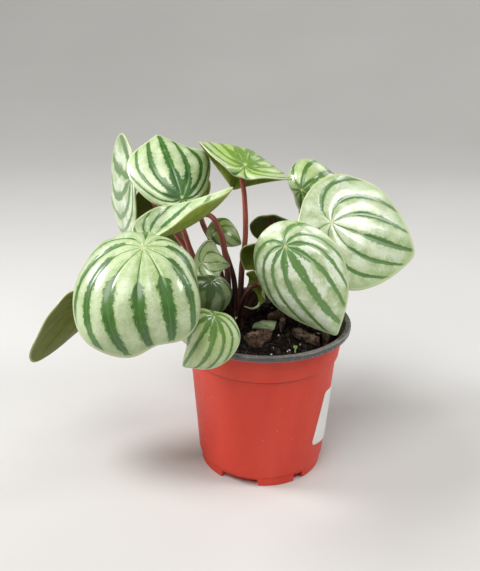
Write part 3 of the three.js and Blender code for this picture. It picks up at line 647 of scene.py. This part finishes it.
def perlite_material():
    """White expanded grains with tiny pits."""
    shader = Shader("perlite")
    pits = shader.cells(shader.place(), 1600)
    color = shader.tint((176, 174, 166), (240, 240, 234), pits, 0.1, 0.5)
    shader.bump(pits, 0.7, 0.0005)
    return shader.finish(color, pits, 0.9, 0.7, 0.3, 0.1, 0.6)


def label_material():
    """Smooth white sticker paper with faint fibres."""
    shader = Shader("label_paper")
    fibre = shader.noise(shader.place(), 700, 3, 0.6)
    color = shader.tint((238, 238, 234), (250, 250, 248), fibre, 0.3, 0.7)
    shader.bump(fibre, 0.1, 0.0002)
    return shader.finish(color, fibre, 0.32, 0.42)


def cut_leaf_material():
    """Dull green cut leaf with paler patches."""
    shader = Shader("cut_leaf")
    patch = shader.noise(shader.place(), 140, 3, 0.6)
    fine = shader.noise(shader.place(), 900, 3, 0.6)
    color = shader.tint((106, 126, 86), (170, 184, 148), patch, 0.4, 0.62)
    color = shader.tint(color, (70, 84, 52), fine, 0.6, 0.75, 0, 0.5)
    shader.bump(fine, 0.4, 0.0004)
    return shader.finish(color, fine, 0.5, 0.7)


def sprout_material():
    """Fresh pale green."""
    shader = Shader("sprout_green")
    patch = shader.noise(shader.place(), 600, 3)
    color = shader.tint((160, 206, 104), (204, 232, 150), patch, 0.3, 0.7)
    shader.bump(patch, 0.2, 0.0003)
    return shader.finish(color, patch, 0.4, 0.5)


# Leaves and stalks

def leaf_axes(item):
    """A leaf's own directions as rows: towards its tip, across, and out of its upper side."""
    compass, height, turn = (math.radians(v) for v in item["facing"])
    level, rise = math.cos(height), math.sin(height)
    normal = np.array((level * math.cos(compass), level * math.sin(compass), rise))
    downhill = np.array((rise * math.cos(compass), rise * math.sin(compass), -level))
    sideways = np.cross(normal, downhill)
    x = math.cos(turn) * downhill + math.sin(turn) * sideways
    return np.array((x, np.cross(normal, x), normal))


def leaf_outline(item, turn):
    """The flat outline round the stalk: a heart with a full back and a narrowed tip."""
    ahead = (1 + np.cos(turn)) / 2
    narrowed = 1 - item["point"] * ahead ** TIP_NARROWING
    x = item["length"] * (ahead - item["attach"])
    y = item["width"] / 2 * np.sin(turn) * (1 - item["full"] * np.cos(turn)) * narrowed
    swell = np.ones_like(turn)
    for angle, rise, spread in item["bumps"]:
        away = (np.degrees(turn) - angle + 180) % 360 - 180
        swell *= 1 + rise * np.exp(-((away / spread) ** 2))
    return x * swell, y * swell


def leaf_surface(item, turn, share):
    """Points of the blade's middle surface for arrays of turn round it and share from stalk to
    margin. Each line from the stalk bends down as an arc whose angle grows towards the margin."""
    x, y = leaf_outline(item, turn)
    reach, angle = np.hypot(x, y), np.arctan2(y, x)
    everywhere, tip, ends, right, skew = item["bend"]
    bend = everywhere + tip * np.cos(angle) + ends * np.cos(2 * angle)
    bend = np.radians(bend + right * np.sin(angle) + skew * np.sin(2 * angle))
    out, drop = np.zeros_like(share), np.zeros_like(share)
    for step in range(BEND_STEPS):
        slope = bend * (share * (step + 0.5) / BEND_STEPS) ** item["curl"]
        out += reach * share * np.cos(slope) / BEND_STEPS
        drop += reach * share * np.sin(slope) / BEND_STEPS
    height, ripples, phase = item["wave"]
    ripple = height * share ** 3 * np.sin(ripples * angle + math.radians(phase))
    return np.stack((out * np.cos(angle), out * np.sin(angle), ripple - drop), -1)


def leaf_normals(item, turn, share):
    """Upward directions at points of the blade."""
    across = leaf_surface(item, turn + 0.03, share) - leaf_surface(item, turn - 0.03, share)
    along = leaf_surface(item, turn, share + 0.01) - leaf_surface(item, turn, share - 0.01)
    normal = np.cross(along, across)
    return normal / np.linalg.norm(normal, axis=-1, keepdims=True)


def vein_angle(item, angle, share):
    """How far round the leaf the vein through a point leaves the stalk, in degrees from the
    midrib: veins start evenly, gather towards the tip, and may twist on their way out."""
    turn, spread, gather, twist = item["fan"]
    half = (np.degrees(angle) - turn - twist * share ** 2 + 180) % 360 / 2 - 90
    half = np.abs(np.radians(half))
    start = np.arctan2(np.sin(half) * np.exp(gather * share ** 2), np.cos(half))
    return np.degrees(start) * 2 / spread


def make_leaf(item, upper, under, random):
    """A thin blade with a rounded margin, sunken veins above and raised veins below. Its points
    run from the middle of the upper side over the margin to the middle of the under side."""
    spokes, rings = next(grid for longer_than, *grid in BLADE_GRIDS if item["length"] > longer_than)
    turn = even_angles(spokes)
    x, y = leaf_outline(item, turn)
    flat_share = 1 - EDGE_ROUND / np.hypot(x, y)
    inner = np.linspace(0.02, 1, rings)[:, None] * flat_share
    edge = flat_share + (1 - flat_share) * np.sin(EDGE_STEPS)[:, None]
    share = np.concatenate((inner, edge))
    rows = len(share)
    thinning = np.cos(np.concatenate((np.zeros(rings), EDGE_STEPS)))[:, None, None]
    middle = leaf_surface(item, turn, share)
    normal = leaf_normals(item, turn, share)
    veins = vein_angle(item, np.arctan2(y, x), share)
    away = np.abs((veins / VEIN_STEP + 0.5) % 1 - 0.5) * 2
    strength = item["length"] / 80 * np.sin(np.pi * np.clip(share, 0, 1)) ** 0.7
    above = PUFF * (away - 0.5) - GROOVE_DEPTH * np.exp(-((away / GROOVE_WIDTH) ** 2))
    below = RIB_HEIGHT * np.exp(-((away / RIB_WIDTH) ** 2)) - PUFF_BELOW * above
    top = middle + normal * thinning * (BLADE_HALF + (strength * above)[..., None])
    bottom = middle - normal * thinning * (BLADE_HALF + (strength * below)[..., None])
    skin = np.concatenate((top, bottom[-2::-1])).reshape(-1, 3)
    points = np.concatenate(([(0, 0, BLADE_HALF)], skin, [(0, 0, -BLADE_HALF)]))
    points = points @ leaf_axes(item) + item["at"]

    def both_sides(values):
        centre = values[0].mean(0, keepdims=True)
        skin = np.concatenate((values, values[-2::-1]))
        return np.concatenate((centre, skin.reshape(-1, *values.shape[2:]), centre))

    flat_place = np.stack((x * share, y * share, np.full(share.shape, random.uniform(0, 500))), -1)
    reach = both_sides(share)
    reach[[0, -1]] = 0
    values = {"vein_angle": both_sides(veins), "reach": reach, "flat_place": both_sides(flat_place)}
    values.update(item["looks"])
    slot = "young_leaf" if "young" in item["name"] else "leaf"
    make_piece(item["name"] + "_blade", points, dome_faces(2 * rows - 1, spokes), [upper, under], slot,
               [item["name"]], values, np.repeat((0, 1), rows * spokes))


def make_curls(upper):
    """The curled end of the lower young leaf, left of its tip, and a small bud on the crown."""
    item = next(each for each in LEAVES if each["name"] == "leaf_young_lower")
    tip = leaf_surface(item, np.zeros(1), np.array([CURL_REACH]))[0] @ leaf_axes(item) + item["at"]
    tail = [tip + step for step in YOUNG_TAIL]
    # The crown bud is darkened with painted shade, as it sits in the crown's shade.
    for name, line, painted_shade in (("young_leaf_tail", tail, 0), ("crown_bud", CROWN_BUD, 0.7)):
        path = smooth_path(line, 36)
        points, faces, along, place = tube(path, np.linspace(*CURL_RADII, len(path)), 12)
        # Along each curl the frost value grows, whitening its silver with painted sheen towards the end.
        values = {"reach": CURL_REACH, "leaf_painted_shade": painted_shade, "leaf_frost_sheen": along, "flat_place": place}
        make_piece(name, points, faces, [upper], "young_leaf", (), values)


def smooth_path(points, samples):
    """A centripetal Catmull-Rom curve through the points."""
    points = np.asarray(points, float)
    padded = np.concatenate((2 * points[:1] - points[1:2], points, 2 * points[-1:] - points[-2:-1]))
    count = max(3, round(samples / (len(points) - 1)))
    line = []
    for i in range(len(points) - 1):
        a, b, c, d = padded[i:i + 4]
        before, span, after = (max(np.linalg.norm(q - p) ** 0.5, 1e-4) for p, q in ((a, b), (b, c), (c, d)))
        start = ((b - a) / before - (c - a) / (before + span) + (c - b) / span) * span
        end = ((c - b) / span - (d - b) / (span + after) + (d - c) / after) * span
        square = 3 * (c - b) - 2 * start - end
        cube = 2 * (b - c) + start + end
        for t in np.arange(count) / count:
            line.append(b + start * t + square * t ** 2 + cube * t ** 3)
    line.append(points[-1])
    return np.array(line)


def tube(path, radii, sides=14):
    """Points, faces, share of the length and streaks' place of a closed round bar along a path."""
    tangents = np.gradient(path, axis=0)
    tangents /= np.linalg.norm(tangents, axis=1, keepdims=True)
    normal = np.cross(tangents[0], (0.3, 0.9, 0.1))
    lengths = np.concatenate(([0], np.cumsum(np.linalg.norm(np.diff(path, axis=0), axis=1))))
    points, place = [], []
    for centre, tangent, radius, length in zip(path, tangents, radii, lengths):
        normal = normal - tangent * np.dot(normal, tangent)
        normal /= np.linalg.norm(normal)
        side = np.cross(tangent, normal)
        for x, y in zip(np.cos(even_angles(sides)), np.sin(even_angles(sides))):
            points.append(centre + radius * (x * normal + y * side))
            place.append((STREAK_COUNT * x, STREAK_COUNT * y, length * STREAK_PACE))
    points += [path[0], path[-1]]
    place += [(0, 0, 0), (0, 0, lengths[-1] * STREAK_PACE)]
    along = np.concatenate((np.repeat(lengths / lengths[-1], sides), (0, 1)))
    return np.array(points), rod_faces(len(path), sides), along, np.array(place)


def make_joined(name, parts, material, slot, replaces=(), keys=()):
    """Several (points, faces, value, ...) sets as one piece. The keys name the values."""
    faces, start = [], 0
    for points, part_faces, *_ in parts:
        faces += [tuple(i + start for i in face) for face in part_faces]
        start += len(points)
    points, _, *values = zip(*parts)
    values = {key: np.concatenate(column) for key, column in zip(keys, values)}
    make_piece(name, np.concatenate(points), faces, [material], slot, replaces, values)


def make_stalks(material, random):
    """Every stalk with its flared ends, and the knobbly crown that they grow from."""
    parts = []
    for item in LEAVES:
        normal = leaf_axes(item)[2]
        lean = np.array(item["stalk"][0], float) - CROWN
        lean[2] = 0
        root = CROWN + lean / np.linalg.norm(lean) * STALK_ROOT_OFFSET
        approach = item["at"] - normal * STALK_APPROACH
        end = item["at"] - normal * BLADE_HALF * 0.5
        path = smooth_path([root, *item["stalk"], approach, end], 64)
        share = np.linspace(0, 1, len(path))
        radii = STALK_ROOT_RADIUS + (STALK_END_RADIUS - STALK_ROOT_RADIUS) * share
        to_end = np.linalg.norm(path - end, axis=1)
        radii = radii + END_FLARE * np.exp(-to_end / END_FLARE_LENGTH) + ROOT_FLARE * np.exp(-share * 14)
        phase = random.uniform(0, 6.28)
        parts.append(tube(path, radii * (1 + 0.03 * np.sin(share * 23 + phase))))
    parts.append(crown_lump())
    make_joined("stalks_and_crown", parts, material, "stalk", ["stalks"], ("along", "stalk_place"))


def crown_lump():
    """The crown: a short knobbly stump with random bumps."""
    points, faces = turned(fillet(CROWN_PROFILE, 1.2, 3), 40)
    points = np.array(points) + (CROWN[0], CROWN[1], 0)
    for i, point in enumerate(points):
        bump = noise.fractal(Vector(point) * 0.35, 0.8, 2.2, 3)
        away = point - CROWN_MIDDLE
        points[i] = point + away / max(np.linalg.norm(away), 1e-6) * min(0.35, 0.5 * bump)
    return points, faces, np.zeros(len(points)), points * 0.6


# Pot, rim and label

def wall_radius(height):
    """Outside radius of the red pot on its tapered wall."""
    share = (height - FOOT_HEIGHT) / (BAND_BOTTOM - FOOT_HEIGHT)
    return WALL_LOW_RADIUS + (WALL_HIGH_RADIUS - WALL_LOW_RADIUS) * share


def skirt_radius(height):
    """Inside radius of the black skirt."""
    share = (height - SKIRT_BOTTOM) / (POT_TOP - SKIRT_BOTTOM)
    outside = BAND_LOW_RADIUS + (BAND_HIGH_RADIUS - BAND_LOW_RADIUS) * share
    return outside - POT_WALL - GAP - SKIRT_WALL


def make_pot(material):
    """The red pot with softened edges and notches cut under its foot."""
    high = BAND_BOTTOM - 2
    profile = fillet([
        (0, 0), (FOOT_RADIUS, 0), (FOOT_RADIUS, FOOT_HEIGHT), (WALL_LOW_RADIUS, FOOT_HEIGHT + 0.8),
        (wall_radius(high), high), (WALL_HIGH_RADIUS + 0.1, BAND_BOTTOM - 0.8),
        (BAND_LOW_RADIUS, BAND_BOTTOM + 0.2), (BAND_HIGH_RADIUS, POT_TOP),
        (BAND_HIGH_RADIUS - POT_WALL, POT_TOP), (BAND_LOW_RADIUS - POT_WALL, BAND_BOTTOM + 0.2),
        (wall_radius(high) - POT_WALL, BAND_BOTTOM - 1), (wall_radius(HEEL_HEIGHT) - POT_WALL, HEEL_HEIGHT),
        (HEEL_RADIUS, POT_FLOOR), (0, POT_FLOOR),
    ], 0.5)
    pot = make_piece("pot_body", *turned(profile), [material], "pot_red", ["pot"])
    for start, end in NOTCHES:
        cut_notch(pot, np.radians(np.linspace(start, end, 9)))


def cut_notch(pot, angles):
    """One drainage notch, cut out of the foot with slightly slanted ends."""
    middle = (angles[0] + angles[-1]) / 2
    mesh = bmesh.new()
    for height, narrow in ((-1, 1.0), (NOTCH_HEIGHT, 0.93)):
        for radius in (NOTCH_INNER_RADIUS, FOOT_RADIUS + 2):
            for angle in middle + (angles - middle) * narrow:
                mesh.verts.new(Vector(round_axis(radius, angle, height)) * MM)
    bmesh.ops.convex_hull(mesh, input=mesh.verts)
    data = bpy.data.meshes.new("notch")
    mesh.to_mesh(data)
    mesh.free()
    cutter = link_new("notch", data)
    modifier = pot.modifiers.new("notch", "BOOLEAN")
    modifier.operation = "DIFFERENCE"
    modifier.object = cutter
    bpy.context.view_layer.update()
    cut = bpy.data.meshes.new_from_object(pot.evaluated_get(bpy.context.evaluated_depsgraph_get()))
    pot.modifiers.remove(modifier)
    pot.data = cut
    bpy.data.objects.remove(cutter)


def make_rim(material):
    """The black ring with its flat lip and the skirt inside the pot."""
    corners = [
        (skirt_radius(RIM_START), RIM_START), (skirt_radius(SKIRT_BOTTOM), SKIRT_BOTTOM),
        (skirt_radius(SKIRT_BOTTOM) + SKIRT_WALL, SKIRT_BOTTOM),
        (BAND_HIGH_RADIUS - POT_WALL - GAP, RIM_BOTTOM), (RIM_RADIUS - 0.1, RIM_BOTTOM),
        (RIM_RADIUS, RIM_TOP - 0.2), (RIM_RADIUS - 1.2, RIM_TOP),
        (RIM_MOUTH_RADIUS, RIM_TOP), (RIM_MOUTH_RADIUS - 0.8, RIM_TOP - 0.7),
        (skirt_radius(RIM_BOTTOM), RIM_BOTTOM - 0.2), (skirt_radius(RIM_START), RIM_START),
    ]
    points, faces = turned(fillet(corners, 0.6)[:-1], closed=True)
    make_piece("rim_ring", points, faces, [material], "rim_black", ["rim"])


def label_border(around):
    """The flat outline of the sticker, with round corners, found by halving along each direction."""
    directions = np.stack((np.cos(even_angles(around)), np.sin(even_angles(around))), -1)
    core = np.array(LABEL_SIZE) / 2 - LABEL_CORNER
    low, high = np.zeros((around, 1)), np.full((around, 1), float(LABEL_REACH))
    for _ in range(30):
        middle = (low + high) / 2
        beyond = np.maximum(np.abs(directions * middle) - core, 0)
        inside = np.linalg.norm(beyond, axis=1, keepdims=True) < LABEL_CORNER
        low, high = np.where(inside, middle, low), np.where(inside, high, middle)
    return directions * low


def make_label(material):
    """The blank sticker, wrapped round the pot's wall and leaning a little."""
    around, rings = 96, 14
    lean = math.radians(LABEL_LEAN)
    turn = np.array(((math.cos(lean), math.sin(lean)), (-math.sin(lean), math.cos(lean))))
    border = label_border(around) @ turn

    def wrapped(place, lift):
        z = LABEL_HEIGHT + place[1]
        angle = math.radians(LABEL_ANGLE) + place[0] / wall_radius(LABEL_HEIGHT)
        return round_axis(wall_radius(z) + lift, angle, z)

    shares = np.linspace(1 / rings, 1, rings)
    front = [wrapped(p * s, LABEL_FRONT) for s in shares for p in border]
    back = [wrapped(p, LABEL_BACK) for p in border]
    points = [wrapped((0, 0), LABEL_FRONT), *front, *back, wrapped((0, 0), LABEL_BACK)]
    make_piece("label_sticker", points, dome_faces(rings + 1, around), [material], "label", ["label"])


# Soil and what lies on it

def soil_height(x, y):
    """Height of the fine, crumbly top, over the part's own gentle rise and fall."""
    relief = 0.7 * math.sin(x / 5.3 + 1) * math.cos(y / 4.7) + 0.5 * math.sin((x - y) / 3.1)
    coarse = noise.fractal(Vector((x, y, 3)) * 0.16, 0.9, 2.1, 4)
    fine = noise.fractal(Vector((x, y, 9)) * 0.6, 0.7, 2.3, 3)
    return SOIL_LEVEL + relief + 0.5 * coarse + 0.35 * fine


def make_soil(material):
    """The root ball: a fine rough top, and plain sides inside the pot."""
    around, rings = 220, 95
    top = [round_axis(SOIL_RADIUS * ring / rings, angle, 0)
           for ring in range(1, rings + 1) for angle in even_angles(around)]
    points = [(x, y, soil_height(x, y)) for x, y, _ in [(0, 0, 0), *top]]
    side = (
        (skirt_radius(SKIRT_BOTTOM) - GAP, SKIRT_BOTTOM + 1),
        (wall_radius(BAND_BOTTOM - 2) - POT_WALL - GAP, BAND_BOTTOM - 1),
        (wall_radius(HEEL_HEIGHT) - POT_WALL - GAP, HEEL_HEIGHT + GAP),
        (HEEL_RADIUS - GAP, POT_FLOOR + GAP),
    )
    points += [round_axis(radius, angle, z) for radius, z in side for angle in even_angles(around)]
    points.append((0, 0, POT_FLOOR + GAP))
    faces = dome_faces(rings + len(side), around)
    make_piece("soil_ball", points, faces, [material], "soil", ["soil"])


def lump(centre, size, random, smooth_steps=1):
    """A small uneven stone-like lump."""
    mesh = bmesh.new()
    bmesh.ops.create_icosphere(mesh, subdivisions=smooth_steps, radius=1)
    turn = Euler(random.uniform(0, 6.28, 3)).to_matrix()
    seed = Vector(random.uniform(0, 100, 3))
    points = []
    for vert in mesh.verts:
        rough = 1 + 0.45 * noise.noise(vert.co * 1.3 + seed)
        points.append(np.array(centre) + turn @ (vert.co * Vector(size)) * rough)
    faces = [tuple(v.index for v in face.verts) for face in mesh.faces]
    mesh.free()
    return np.array(points), faces


def soil_spot(random, border=2.0):
    """A random place on the soil, clear of the pot's wall."""
    radius = (SOIL_RADIUS - border) * math.sqrt(random.uniform(0, 1))
    angle = random.uniform(0, 2 * math.pi)
    return radius * math.cos(angle), radius * math.sin(angle)


def make_crumbs(material, random):
    """Loose crumbs and wood splinters all over the soil."""
    parts = []
    for _ in range(CRUMBS):
        x, y = soil_spot(random)
        big = random.uniform(0.35, 1.0) ** 2 * 2.4
        size = [big * random.uniform(low, high) for low, high in ((0.7, 1.5), (0.6, 1.0), (0.4, 0.8))]
        points, faces = lump((x, y, soil_height(x, y) + 0.1 * big), size, random)
        parts.append((points, faces, np.full(len(points), random.uniform(0, 1) ** 2)))
    make_joined("soil_crumbs", parts, material, "soil", keys=("tone",))


def make_fibres(material, random):
    """Thin broken rootlets that curl over the soil."""
    parts = []
    for _ in range(FIBRES):
        x, y = soil_spot(random, 7)
        heading = random.uniform(0, 2 * math.pi)
        path = []
        for step in range(FIBRE_STEPS + 1):
            arch = 0.3 + 0.5 * math.sin(step * math.pi / FIBRE_STEPS)
            path.append((x, y, soil_height(x, y) + arch))
            x += 0.8 * math.cos(heading)
            y += 0.8 * math.sin(heading)
            heading += random.uniform(-0.5, 0.6)
        parts.append(tube(np.array(path), np.full(len(path), FIBRE_RADIUS), 6))
    make_joined("soil_fibres", parts, material, "bark")


def make_perlite(material, random):
    """White perlite grains, a few of them beside the sprout."""
    parts = []
    spots = [np.add(SPROUT_AT, step) for step in PERLITE_STEPS]
    spots += [soil_spot(random, 4) for _ in range(PERLITE)]
    for x, y in spots:
        size = random.uniform(0.45, 0.85, 3)
        parts.append(lump((x, y, soil_height(x, y) + 0.5), size, random))
    make_joined("perlite_grains", parts, material, "soil")


def outline_slab(outline, bottom, top, random, rough, curl):
    """A splintered slab in an outline: rings from its middle, layered edges and an uneven top."""
    outline = np.array(outline, float)
    middle = outline.mean(0)
    steps = np.arange(8) / 8
    sides = zip(outline, np.roll(outline, -1, axis=0))
    border = np.array([first + (second - first) * t for first, second in sides for t in steps])
    border = (border + np.roll(border, 1, axis=0) + np.roll(border, -1, axis=0)) / 3
    seed = random.uniform(0, 100)
    long_side = np.ptp(border, axis=0).max()

    def raised(place, level):
        lift = curl * (np.linalg.norm(place - middle) / (long_side / 2)) ** 2
        grain = Vector((place[0] * 0.35, place[1] * 0.8, seed + level))
        return (*place, level + lift + rough * noise.fractal(grain, 0.8, 2.2, 3))

    def jagged(place, level):
        push = 0.8 * noise.noise(Vector((place[0] * 0.9, place[1] * 0.9, seed + level * 1.7)))
        away = place - middle
        return place + away / np.linalg.norm(away) * push

    shares = (0.15, 0.35, 0.55, 0.75, 0.9, 1.0)
    layers = (top - (top - bottom) * 0.35, top - (top - bottom) * 0.7, bottom)
    points = [raised(middle, top)]
    points += [raised(middle + (place - middle) * share, top) for share in shares for place in border]
    points += [raised(jagged(place, level), level) for level in layers for place in border]
    points.append((*middle, bottom))
    return points, dome_faces(len(shares) + len(layers), len(border))


def make_scraps(bark, cut_leaf, random):
    """The larger bark chips, the cut leaf piece and the rootlets."""
    for name, (top, curl, outline) in BARK.items():
        points, faces = outline_slab(outline, BARK_BOTTOM, top, random, 1.1, curl)
        make_piece(name + "_wood", points, faces, [bark], "bark", [name])
    bottom, top, outline = CUT_LEAF
    points, faces = outline_slab(outline, bottom, top, random, 0.12, 0.3)
    make_piece("cut_leaf_blade", points, faces, [cut_leaf], "cut_leaf", ["cut_leaf_piece"])
    make_fibres(bark, random)


def make_sprout(material):
    """A seedling: a short shoot with two small round seed leaves."""
    x, y = SPROUT_AT
    path = smooth_path([(x, y, 86.2), (x, y, 88.5), (x + 0.2, y, 90.2)], 12)
    parts = [tube(path, np.full(len(path), SHOOT_RADIUS), 10)[:2]]
    for side in (-1, 1):
        points, faces = lump((0, 0, 0), SEED_LEAF, np.random.default_rng(3), 2)
        parts.append((points + (x + side * 0.5, y, SEED_LEAF_HEIGHT), faces))
    make_joined("sprout_shoot", parts, material, "sprout", ["sprout"])


# Stage, light and camera

def make_stage():
    """A plain pale floor whose far edge sweeps up into a round wall."""
    sweep = np.linspace(0, np.pi / 2, 13)
    wall = [(SWEEP_RADIUS * math.sin(a), SWEEP_RADIUS * (1 - math.cos(a))) for a in sweep]
    profile = [(10, 0), *((FLOOR_RADIUS + out, up) for out, up in wall)]
    around = 96
    points = [Vector(round_axis(r, a, z)) * MM for r, z in profile for a in even_angles(around)]
    faces = [(a, d, c, b) for a, b, c, d in ring_faces(len(profile), around)]
    faces.append(tuple(range(around)))
    mesh = bpy.data.meshes.new("floor")
    mesh.from_pydata(points, [], faces)
    mesh.polygons.foreach_set("use_smooth", np.full(len(mesh.polygons), True))
    shader = Shader("floor_pale")
    tone = shader.noise(shader.place(), 3.0, 2.0)
    color = shader.tint((202, 201, 199), (205, 204, 202), tone, 0.3, 0.7)
    mesh.materials.append(shader.finish(color, tone, 0.8, 0.85, 0.2))
    link_new("floor", mesh)


def add_light(name, compass, height, power, size=420, color=(1, 1, 1), sun_angle=None):
    """A soft square lamp, or a hazy sun where it has an angle, that looks at the plant's middle
    from a compass and a height angle."""
    compass, height = math.radians(compass), math.radians(height)
    level = math.cos(height)
    toward = Vector((level * math.cos(compass), level * math.sin(compass), math.sin(height)))
    data = bpy.data.lights.new(name, "AREA" if sun_angle is None else "SUN")
    data.energy = power
    data.color = color
    if sun_angle is None:
        data.shape = "SQUARE"
        data.size = size * MM
    else:
        data.angle = math.radians(sun_angle)
    light = link_new(name, data)
    light.location = (Vector(LIT_MIDDLE) + toward * LAMP_DISTANCE) * MM
    light.rotation_euler = toward.to_track_quat("Z", "Y").to_euler()


def make_light():
    """Two soft lamps to the sides, a hazy sun in front, a weak lamp behind and a faint grey sky."""
    world = bpy.data.worlds.new("studio")
    world.use_nodes = True
    sky = world.node_tree.nodes["Background"].inputs
    sky["Color"].default_value = (0.95, 0.97, 1, 1)
    sky["Strength"].default_value = 0.15
    bpy.context.scene.world = world
    add_light("left", 178, 42, 7, 300)
    add_light("right", -14, 44, 2.7, 240)
    add_light("back", 45, 35, 1.5)
    add_light("haze", -122, 58, 1.6, sun_angle=35, color=(1, 0.98, 0.94))


def make_camera():
    """The photograph's camera."""
    data = bpy.data.cameras.new("camera")
    data.sensor_fit = "VERTICAL"
    data.sensor_height = SENSOR_HEIGHT
    data.lens = SENSOR_HEIGHT * FOCAL_PIXELS / PHOTO_SIZE[1]
    camera = link_new("camera", data)
    tilt = math.radians(CAMERA_ELEVATION)
    back = Vector((0, -math.cos(tilt), math.sin(tilt)))
    camera.location = (CAMERA_TARGET + back * CAMERA_DISTANCE) * MM
    facing = back.to_track_quat("Z", "Y").to_matrix().to_4x4()
    camera.rotation_euler = (facing @ Matrix.Rotation(math.radians(CAMERA_ROLL), 4, "Z")).to_euler()
    bpy.context.scene.camera = camera
    bpy.context.scene.view_settings.view_transform = "Standard"


def main():
    random = np.random.default_rng(SEED)
    upper, under = leaf_upper_material(), leaf_under_material()
    for item in LEAVES:
        make_leaf(item, upper, under, random)
    make_curls(upper)
    make_stalks(stalk_material(), random)
    make_pot(pot_material())
    make_rim(rim_material())
    make_label(label_material())
    make_soil(soil_material())
    make_crumbs(crumb_material(), random)
    make_perlite(perlite_material(), random)
    make_scraps(bark_material(), cut_leaf_material(), random)
    make_sprout(sprout_material())
    make_stage()
    make_light()
    make_camera()


main()
